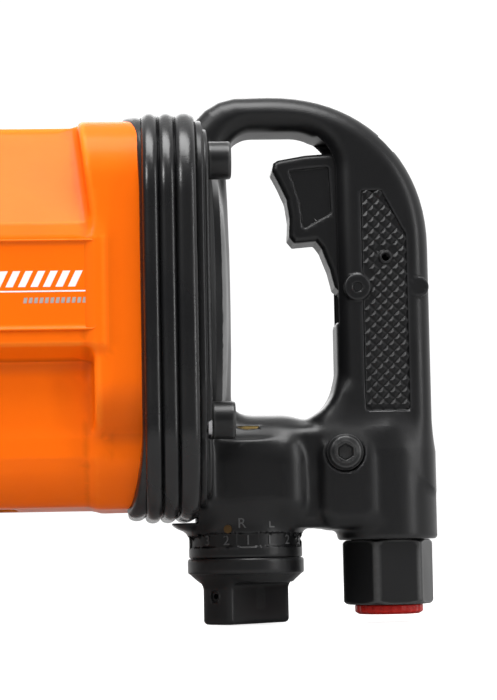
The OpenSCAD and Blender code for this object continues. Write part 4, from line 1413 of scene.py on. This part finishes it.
def cap_screw_shape(head_r: float = 8.0, length: float = 10.0, across: float = 8.0) -> Piece:
    """A cap screw's head and neck along +X from its seat, with a hexagon socket.

    Args:
        head_r: Radius of the head.
        length: Length of the head.
        across: Size of the socket across its flats.

    Returns:
        The object, to be copied.
    """
    head = Solid.rod(Axis.X, (0, 0), head_r, 0, length, 1.1)
    rim = Solid.rod(Axis.X, (0, 0), head_r * 0.62, length - 0.5, length + 5, 0.3)
    socket = Solid.pushed(Outline.hexagon(across), Axis.X, length - 5.5, length + 5)
    shape = head.cut(rim, 0.3).cut(socket, 0.3).join(Solid.rod(Axis.X, (0, 0), 5, -20, 1))
    return Skinner(0.45, 0.03).wrap("cap_screw", shape, (-20, -8, -8), (length, 8, 8))


@dataclass
class TriggerLever(Assembly):
    """The finger lever and its arm over the throttle rod."""

    width: float = 22.0
    pivot: Point = (517.6, 5.1)

    def build(self) -> None:
        """Builds the lever."""
        blade = [(482, 61.8), (484, 63.1), (496, 65.2), (514, 66.4), (515.5, 40), (513.5, 18), (511, 3.5),
                 (508.3, 5.9), (506.3, 14), (502.8, 23.2), (500.3, 26.5), (490.8, 25.7), (488.4, 28.6),
                 (488.8, 37), (487.6, 45.5), (484.4, 52.8), (481.4, 58.6)]
        sunk = [(488.6, 58.2), (506.4, 59.8), (507.3, 38.7), (494.7, 31.6), (493.6, 42.9), (491.1, 51.8)]
        half = self.width / 2
        body = Solid.pushed(Outline.polygon(blade, 0.8), Axis.Y, -half, half, 2.6)
        body = body.join(Solid.rod(Axis.Y, self.pivot, 6.6, -half, half, 0.6), 1.0)
        for sign in (-1, 1):
            y0, y1 = sorted((sign * (half - 0.9), sign * (half + 6)))
            body = body.cut(Solid.pushed(Outline.polygon(sunk, 1.2), Axis.Y, y0, y1), 0.8)
        arm = Solid.pushed(Outline.rect(516.6, 532.4, 0, 7, 1.0), Axis.Y, -4, 4, 0.6)
        body = body.join(arm, 0.8).cut(Solid.rod(Axis.Y, self.pivot, 1.95, -30, 30))
        lever = Skinner(0.55).wrap("trigger_lever", body, (480, -12, -3), (534, 12, 68))
        self.seat(lever, "trigger", "black_casting", "trigger")


@dataclass
class RegulatorDial(Assembly):
    """The knob that sets the power and turns the reverse valve."""

    axis: Point = (467.0, 0.0)
    flange_r: float = 25.6
    rest: float = -45.0

    def build(self) -> None:
        """Builds the knob, turned to its rest setting."""
        flange = Solid.rod(Axis.Z, self.axis, self.flange_r, -119.4, -112.63, 0.9)
        skirt = [(25.2, -119), (20.5, -123.4)]
        cone = Outline.mirrored(skirt, 0.6)
        x, y = self.axis
        grip = Outline.rect(x - 8.5, x + 8.5, y - 21, y + 21, 2.5)
        bar = Solid.pushed(grip, Axis.Z, -141.7, -117, 2.4)
        bar = bar.meet(Solid.rod(Axis.Z, self.axis, 21, -141.7, -117, 2.4), 1.5)
        body = flange.join(Solid.turned(cone, Axis.Z, self.axis), 0.8).join(bar, 3.0)
        body = body.cut(Solid.rod(Axis.Z, self.axis, 8, -134.4, -100))
        body = body.cut(Solid.rod(Axis.Y, (x, -129), 2.5, -30, -5), 0.4)
        groove = Outline.rect(18.6, 23.8, -115.2, -105, 0.5)
        body = body.cut(Solid.turned(groove, Axis.Z, self.axis), 0.2)
        knob = Skinner(0.65).wrap(
            "regulator_dial", body.about_z(self.axis, self.rest), (440, -27, -143), (494, 27, -112)
        )
        self.seat(knob, "regulator", "black_casting", "regulator_knob")


@dataclass
class AirInlet(Assembly):
    """The hexagon bushing of the air inlet and its red dust plug."""

    axis: Point = (530.0, 0.0)
    across: float = 36.0
    turn: float = 38.7
    low: float = -134.1
    high: float = -105.6

    def build(self) -> None:
        """Builds the bushing and the plug."""
        x, y = self.axis
        flats = Solid.pushed(Outline.hexagon(self.across, 0.3), Axis.Z, self.low, self.high, 0.4)
        centred = Solid(lambda p: flats.rule(np.stack([p[0] - x, p[1] - y, p[2]])))
        half = [(18.2, self.low), (20.9, self.low + 1.7), (20.9, self.high - 1.7), (18.2, self.high)]
        bevel = Solid.turned(Outline.mirrored(half), Axis.Z, self.axis)
        body = centred.meet(bevel, 0.4).join(Solid.rod(Axis.Z, self.axis, 15.6, self.high - 1, -90))
        for radius, z0, z1 in ((11.0, self.low - 5, -128), (9.3, -130, -105), (12.5, -106, -80)):
            body = body.cut(Solid.rod(Axis.Z, self.axis, radius, z0, z1), 0.4)
        bushing = Skinner(0.55).wrap(
            "inlet_hexagon", body.about_z(self.axis, self.turn), (508, -22, self.low - 1), (552, 22, -89)
        )
        self.seat(bushing, "tool", "black_steel", "inlet_bushing")
        profile = softened([(0, -138.3), (13.2, -138.3), (15.1, -137.2), (15.1, -134.2), (10.6, -134.2),
                            (10.6, -128.7), (9.4, -128.6), (8.6, -131.0), (0, -131.0)], 0.6)
        plug = lathe("inlet_dust_plug", profile, Axis.Z, self.axis, ripple=0.35, waves=24)
        self.seat(plug, "dust_plug", "red_plastic", "dust_plug")


@dataclass
class ThrottleSpring(Assembly):
    """The coil spring that shuts the throttle and shortens as the valve is pushed."""

    axis: Point = (530.0, 0.0)
    low: float = -103.8
    high: float = -93.3
    radius: float = 6.0
    wire: float = 0.7
    turns: int = 4
    stroke: float = 2.9

    def build(self) -> None:
        """Builds the spring at one fixed length on the tool."""
        steps = 24 * self.turns
        around = np.linspace(0, 2 * math.pi, 11)[:-1]
        reach, lift = self.radius + self.wire * np.cos(around), self.wire * np.sin(around)
        rows = []
        for i in range(steps + 1):
            turn = 2 * math.pi * self.turns * i / steps
            z = self.low + self.wire + (self.high - self.low - 2 * self.wire) * i / steps
            x, y = self.axis[0] + reach * math.cos(turn), self.axis[1] + reach * math.sin(turn)
            rows.append(np.stack([x, y, z + lift], 1))
        spring = loft("throttle_coil", np.array(rows), closed=False)
        self.seat(spring, "tool", "bearing_steel", "throttle_spring")
        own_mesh(spring)


@dataclass
class NoseCase(Assembly):
    """The cast case round the hammers, ahead of the housing."""

    rear: float = 292.0
    bolt: Point = (57.0, 54.9)

    def build(self) -> None:
        """Builds the case and the screws that hold it."""
        half = [(33, 165), (35, 167.4), (35, 172), (36, 174), (36, 205), (39, 208), (46, 214), (58, 221),
                (62.5, 229), (64, 238), (64, 280), (67, 292)]
        body = Solid.turned(Outline.mirrored(half, 0.8), Axis.X)
        flange = Solid.pushed(Outline.rect(-70, 70, -68, 70, 16), Axis.X, 278, self.rear, 2.0)
        body = body.join(flange, 5.0).join(Solid.rod(Axis.Z, (262, 0), 15, 50, 69, 1.5), 4.0)
        body = body.join(Solid.rod(Axis.Y, (250, 0), 8, 50, 67, 1.0), 3.0)
        for turn in range(6):
            t = math.radians(30 + 60 * turn)
            c, s = math.cos(t), math.sin(t)
            rib = Solid(lambda p, c=c, s=s: rounded_meet(
                abs(p[1] * c - p[2] * s) - 2.2,
                np.maximum(abs(p[0] - 236) - 20, p[1] * s + p[2] * c - 66), 1.5))
            ahead = Solid(lambda p, c=c, s=s: 30 - (p[1] * s + p[2] * c))
            slope = Solid(lambda p: np.hypot(p[1], p[2]) - (38 + 1.15 * (p[0] - 206)))
            body = body.join(rib.meet(ahead).meet(slope, 2.0), 3.0)
        for radius, x0, x1 in ((25.0, 160, 227), (56.0, 226, 296)):
            body = body.cut(Solid.rod(Axis.X, (0, 0), radius, x0, x1), 0.6)
        y, z = self.bolt
        for sy, sz in CORNERS:
            body = body.cut(Solid.rod(Axis.X, (sy * y, sz * z), 9.5, 255, 279), 0.8)
        body = body.cut(Solid.rod(Axis.Z, (262, 0), 5, 50, 80)).cut(Solid.rod(Axis.Y, (250, 0), 3, 40, 80))
        case = Skinner(1.1).wrap("hammer_case_casting", body, (164, -71, -69), (self.rear, 71, 71))
        self.seat(case, "tool", "case_aluminium", "hammer_case")
        places = [(277.2, sy * y, sz * z) for sy, sz in CORNERS]
        turns = [(15.0 * i, 0, 180) for i in range(4)]
        screws = set_out("case_screws", cap_screw_shape(), places, turns, BLACKED)
        self.seat(screws, "tool", "black_steel", "housing_bolts")


@dataclass
class SideHandle(Assembly):
    """The turning side handle: clamp, sleeve and its rings."""

    x: float = 190.0
    radius: float = 17.0
    rings: int = 18
    spacing: float = 5.0

    def build(self) -> None:
        """Builds the clamp, the grip sleeve and the rings on it."""
        ring = Outline.disc(0, 0, 45).cut(Outline.disc(0, 0, 36.3))
        body = Solid.pushed(ring, Axis.X, self.x - 12, self.x + 12, 2.2)
        body = body.join(Solid.rod(Axis.Y, (self.x, 0), 13, -60, -40, 1.8), 5.0)
        ears = Solid.pushed(Outline.rect(self.x - 12, self.x + 12, -13, 13, 4), Axis.Y, 37, 62, 2.5)
        body = body.join(ears, 5.0).cut(Solid.rod(Axis.X, (0, 0), 36.3, 150, 230))
        split = Solid.pushed(Outline.rect(self.x - 20, self.x + 20, -2, 2), Axis.Y, 30, 70)
        body = body.cut(split, 0.6).cut(Solid.rod(Axis.Z, (self.x, 53), 4.1, -20, 20), 0.4)
        body = body.cut(Solid.rod(Axis.Y, (self.x, 0), 8, -74, -44), 0.4)
        clamp = Skinner(0.95).wrap("side_clamp", body, (self.x - 13, -61, -46), (self.x + 13, 63, 46))
        self.seat(clamp, "side_handle", "black_casting", "side_handle_clamp")
        r = self.radius
        profile = softened([(0, -68), (r + 4, -68), (r + 5, -69.5), (r + 5, -73), (r - 1.4, -78),
                            (r - 1.4, -172), (r + 0.6, -174), (r, -178), (r - 6, -184), (0, -184)], 2.0)
        self.seat(lathe("side_grip_sleeve", profile, Axis.Y, (self.x, 0)), "side_handle", "grip_rubber",
                  "side_handle_grip")
        bead = [(r - 2 + 1.9 * math.sin(a), 1.9 * math.cos(a)) for a in np.linspace(0, math.pi, 9)]
        shape = lathe("grip_ring", [(r - 3, 1.9), *bead, (r - 3, -1.9)], Axis.Y, (0, 0))
        places = [(self.x, -82 - self.spacing * i, 0) for i in range(self.rings)]
        turns = [(0, 7.0 * i, 0) for i in range(self.rings)]
        rings = set_out("side_grip_rings", shape, places, turns, GRIP)
        self.seat(rings, "side_handle", "grip_rubber")


@dataclass
class FrameParts(Assembly):
    """The parts that keep their frame shape: motor, hammers, bearings, valves and small parts."""

    nodes: dict[str, Piece]
    slots: dict[str, str]

    def dress(self) -> None:
        """Gives every frame part its finish."""
        for name, node in self.nodes.items():
            node.data.materials.clear()
            finish = NODE_FINISH.get(name, SLOT_FINISH[self.slots[name]])
            node.data.materials.append(finish.material())
        LOG.info("%d frame parts dressed", len(self.nodes))


LAMPS = (
    ("top_softbox", (0.35, -0.45, 1.4), (1.4, 0.8), 36.0),
    ("left_softbox", (-0.6, -1.1, 0.9), (0.4, 0.4), 10.5),
    ("right_strip", (1.7, -0.8, 0.3), (0.14, 1.2), 7.0),
    ("back_softbox", (0.4, 1.6, 0.8), (1.0, 1.0), 9.0),
)


@dataclass
class Studio:
    """Pale floor, soft lights, bright surroundings and the camera."""

    target: tuple[float, float, float] = (0.470, 0.0, -0.0205)
    distance: float = 1.0
    yaw: float = 3.0
    pitch: float = 5.1
    roll: float = 1.1
    lens: float = 115.56
    floor_z: float = -141.9
    floor_glow: float = 0.85

    def build(self) -> None:
        """Sets up the studio."""
        self._floor()
        self._world()
        self._camera()
        for name, spot, size, power in LAMPS:
            self._lamp(name, spot, size, power)

    def _floor(self) -> None:
        """A wide round floor that looks white to the camera but throws little light."""
        turn = np.linspace(0, 2 * math.pi, 97)[:-1]
        rows = []
        for radius in (0.05, 400, 1200, 4000, 12000):
            level = np.full(96, self.floor_z)
            rows.append(np.stack([300 + radius * np.cos(turn), radius * np.sin(turn), level], 1))
        floor = loft("studio_floor", np.array(rows[::-1]), closed=False, capped=False)
        surface = FLOOR.material()
        wiring = Wiring(surface.node_tree)
        seen = wiring.node("ShaderNodeLightPath").outputs["Is Camera Ray"]
        shader = next(n for n in surface.node_tree.nodes if n.type == "BSDF_PRINCIPLED")
        glow = wiring.math("MULTIPLY", seen, self.floor_glow)
        surface.node_tree.links.new(glow, shader.inputs["Emission Strength"])
        floor.data.materials.append(surface)

    @staticmethod
    def _world() -> None:
        """White surroundings that are dimmer on the viewer's side."""
        world = bpy.context.scene.world or bpy.data.worlds.new("studio")
        bpy.context.scene.world = world
        world.use_nodes = True
        world.node_tree.nodes.clear()
        wiring = Wiring(world.node_tree)
        ray = wiring.node("ShaderNodeTexCoord").outputs["Generated"]
        split = wiring.node("ShaderNodeSeparateXYZ", {0: ray}).outputs
        toward = wiring.math("ADD", split[1], wiring.math("MULTIPLY", split[0], 0.5))
        side = wiring.math("SUBTRACT", 0.75, toward, True)
        lift = wiring.math("SUBTRACT", 1.0, wiring.math("MULTIPLY", split[2], 0.6))
        level = wiring.math("SUBTRACT", 1.1, wiring.math("MULTIPLY", side, lift))
        seen = wiring.node("ShaderNodeLightPath").outputs["Is Camera Ray"]
        level = wiring.math("MAXIMUM", level, wiring.math("MULTIPLY", seen, 1.05))
        back = wiring.node("ShaderNodeBackground", {"Color": (1, 1, 1, 1), "Strength": level})
        wiring.node("ShaderNodeOutputWorld", {0: back.outputs[0]})

    def _camera(self) -> None:
        """A level-headed view from the left, slightly from below."""
        yaw, pitch, roll = (math.radians(a) for a in (self.yaw, self.pitch, self.roll))
        ahead = Vector((math.sin(yaw) * math.cos(pitch), math.cos(yaw) * math.cos(pitch), math.sin(pitch)))
        right0 = ahead.cross(Vector((0, 0, 1))).normalized()
        up0 = right0.cross(ahead)
        right = right0 * math.cos(roll) - up0 * math.sin(roll)
        up = up0 * math.cos(roll) + right0 * math.sin(roll)
        data = bpy.data.cameras.new("camera")
        data.lens, data.sensor_width, data.clip_end = self.lens, 36.0, 50.0
        camera = bpy.data.objects.new("camera", data)
        bpy.context.scene.collection.objects.link(camera)
        spot = Vector(self.target) - ahead * self.distance
        camera.matrix_world = Matrix((*zip(right, up, -ahead, spot), (0, 0, 0, 1)))
        bpy.context.scene.camera = camera

    def _lamp(self, name: str, spot: Sequence[float], size: Point, power: float) -> None:
        """Adds a soft light that is aimed at the tool.

        Args:
            name: Name of the light.
            spot: Where it stands, in metres.
            size: Its width and height, in metres.
            power: Its power in watts.
        """
        data = bpy.data.lights.new(name, "AREA")
        data.shape, data.energy = "RECTANGLE", power
        data.size, data.size_y = size
        lamp = bpy.data.objects.new(name, data)
        lamp.location = spot
        aim = Vector(self.target) - Vector(spot)
        lamp.rotation_euler = aim.to_track_quat("-Z", "Y").to_euler()
        lamp.visible_camera = False
        bpy.context.scene.collection.objects.link(lamp)


def main() -> None:
    """Builds the whole visual model round the frame."""
    logging.basicConfig(level=logging.INFO, format="%(message)s")
    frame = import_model()
    bpy.context.scene.view_settings.view_transform = "Standard"
    slots = {part["node"]: part["material_slot"] for part in frame["record"]["subparts"]}
    FrameParts(frame["nodes"], slots).dress()
    for kind in (MotorHousing, BumperSleeve, BackHead, TriggerLever, RegulatorDial, AirInlet,
                 ThrottleSpring, NoseCase, SideHandle):
        kind().build()
    Studio().build()


if __name__ == "__main__":
    main()
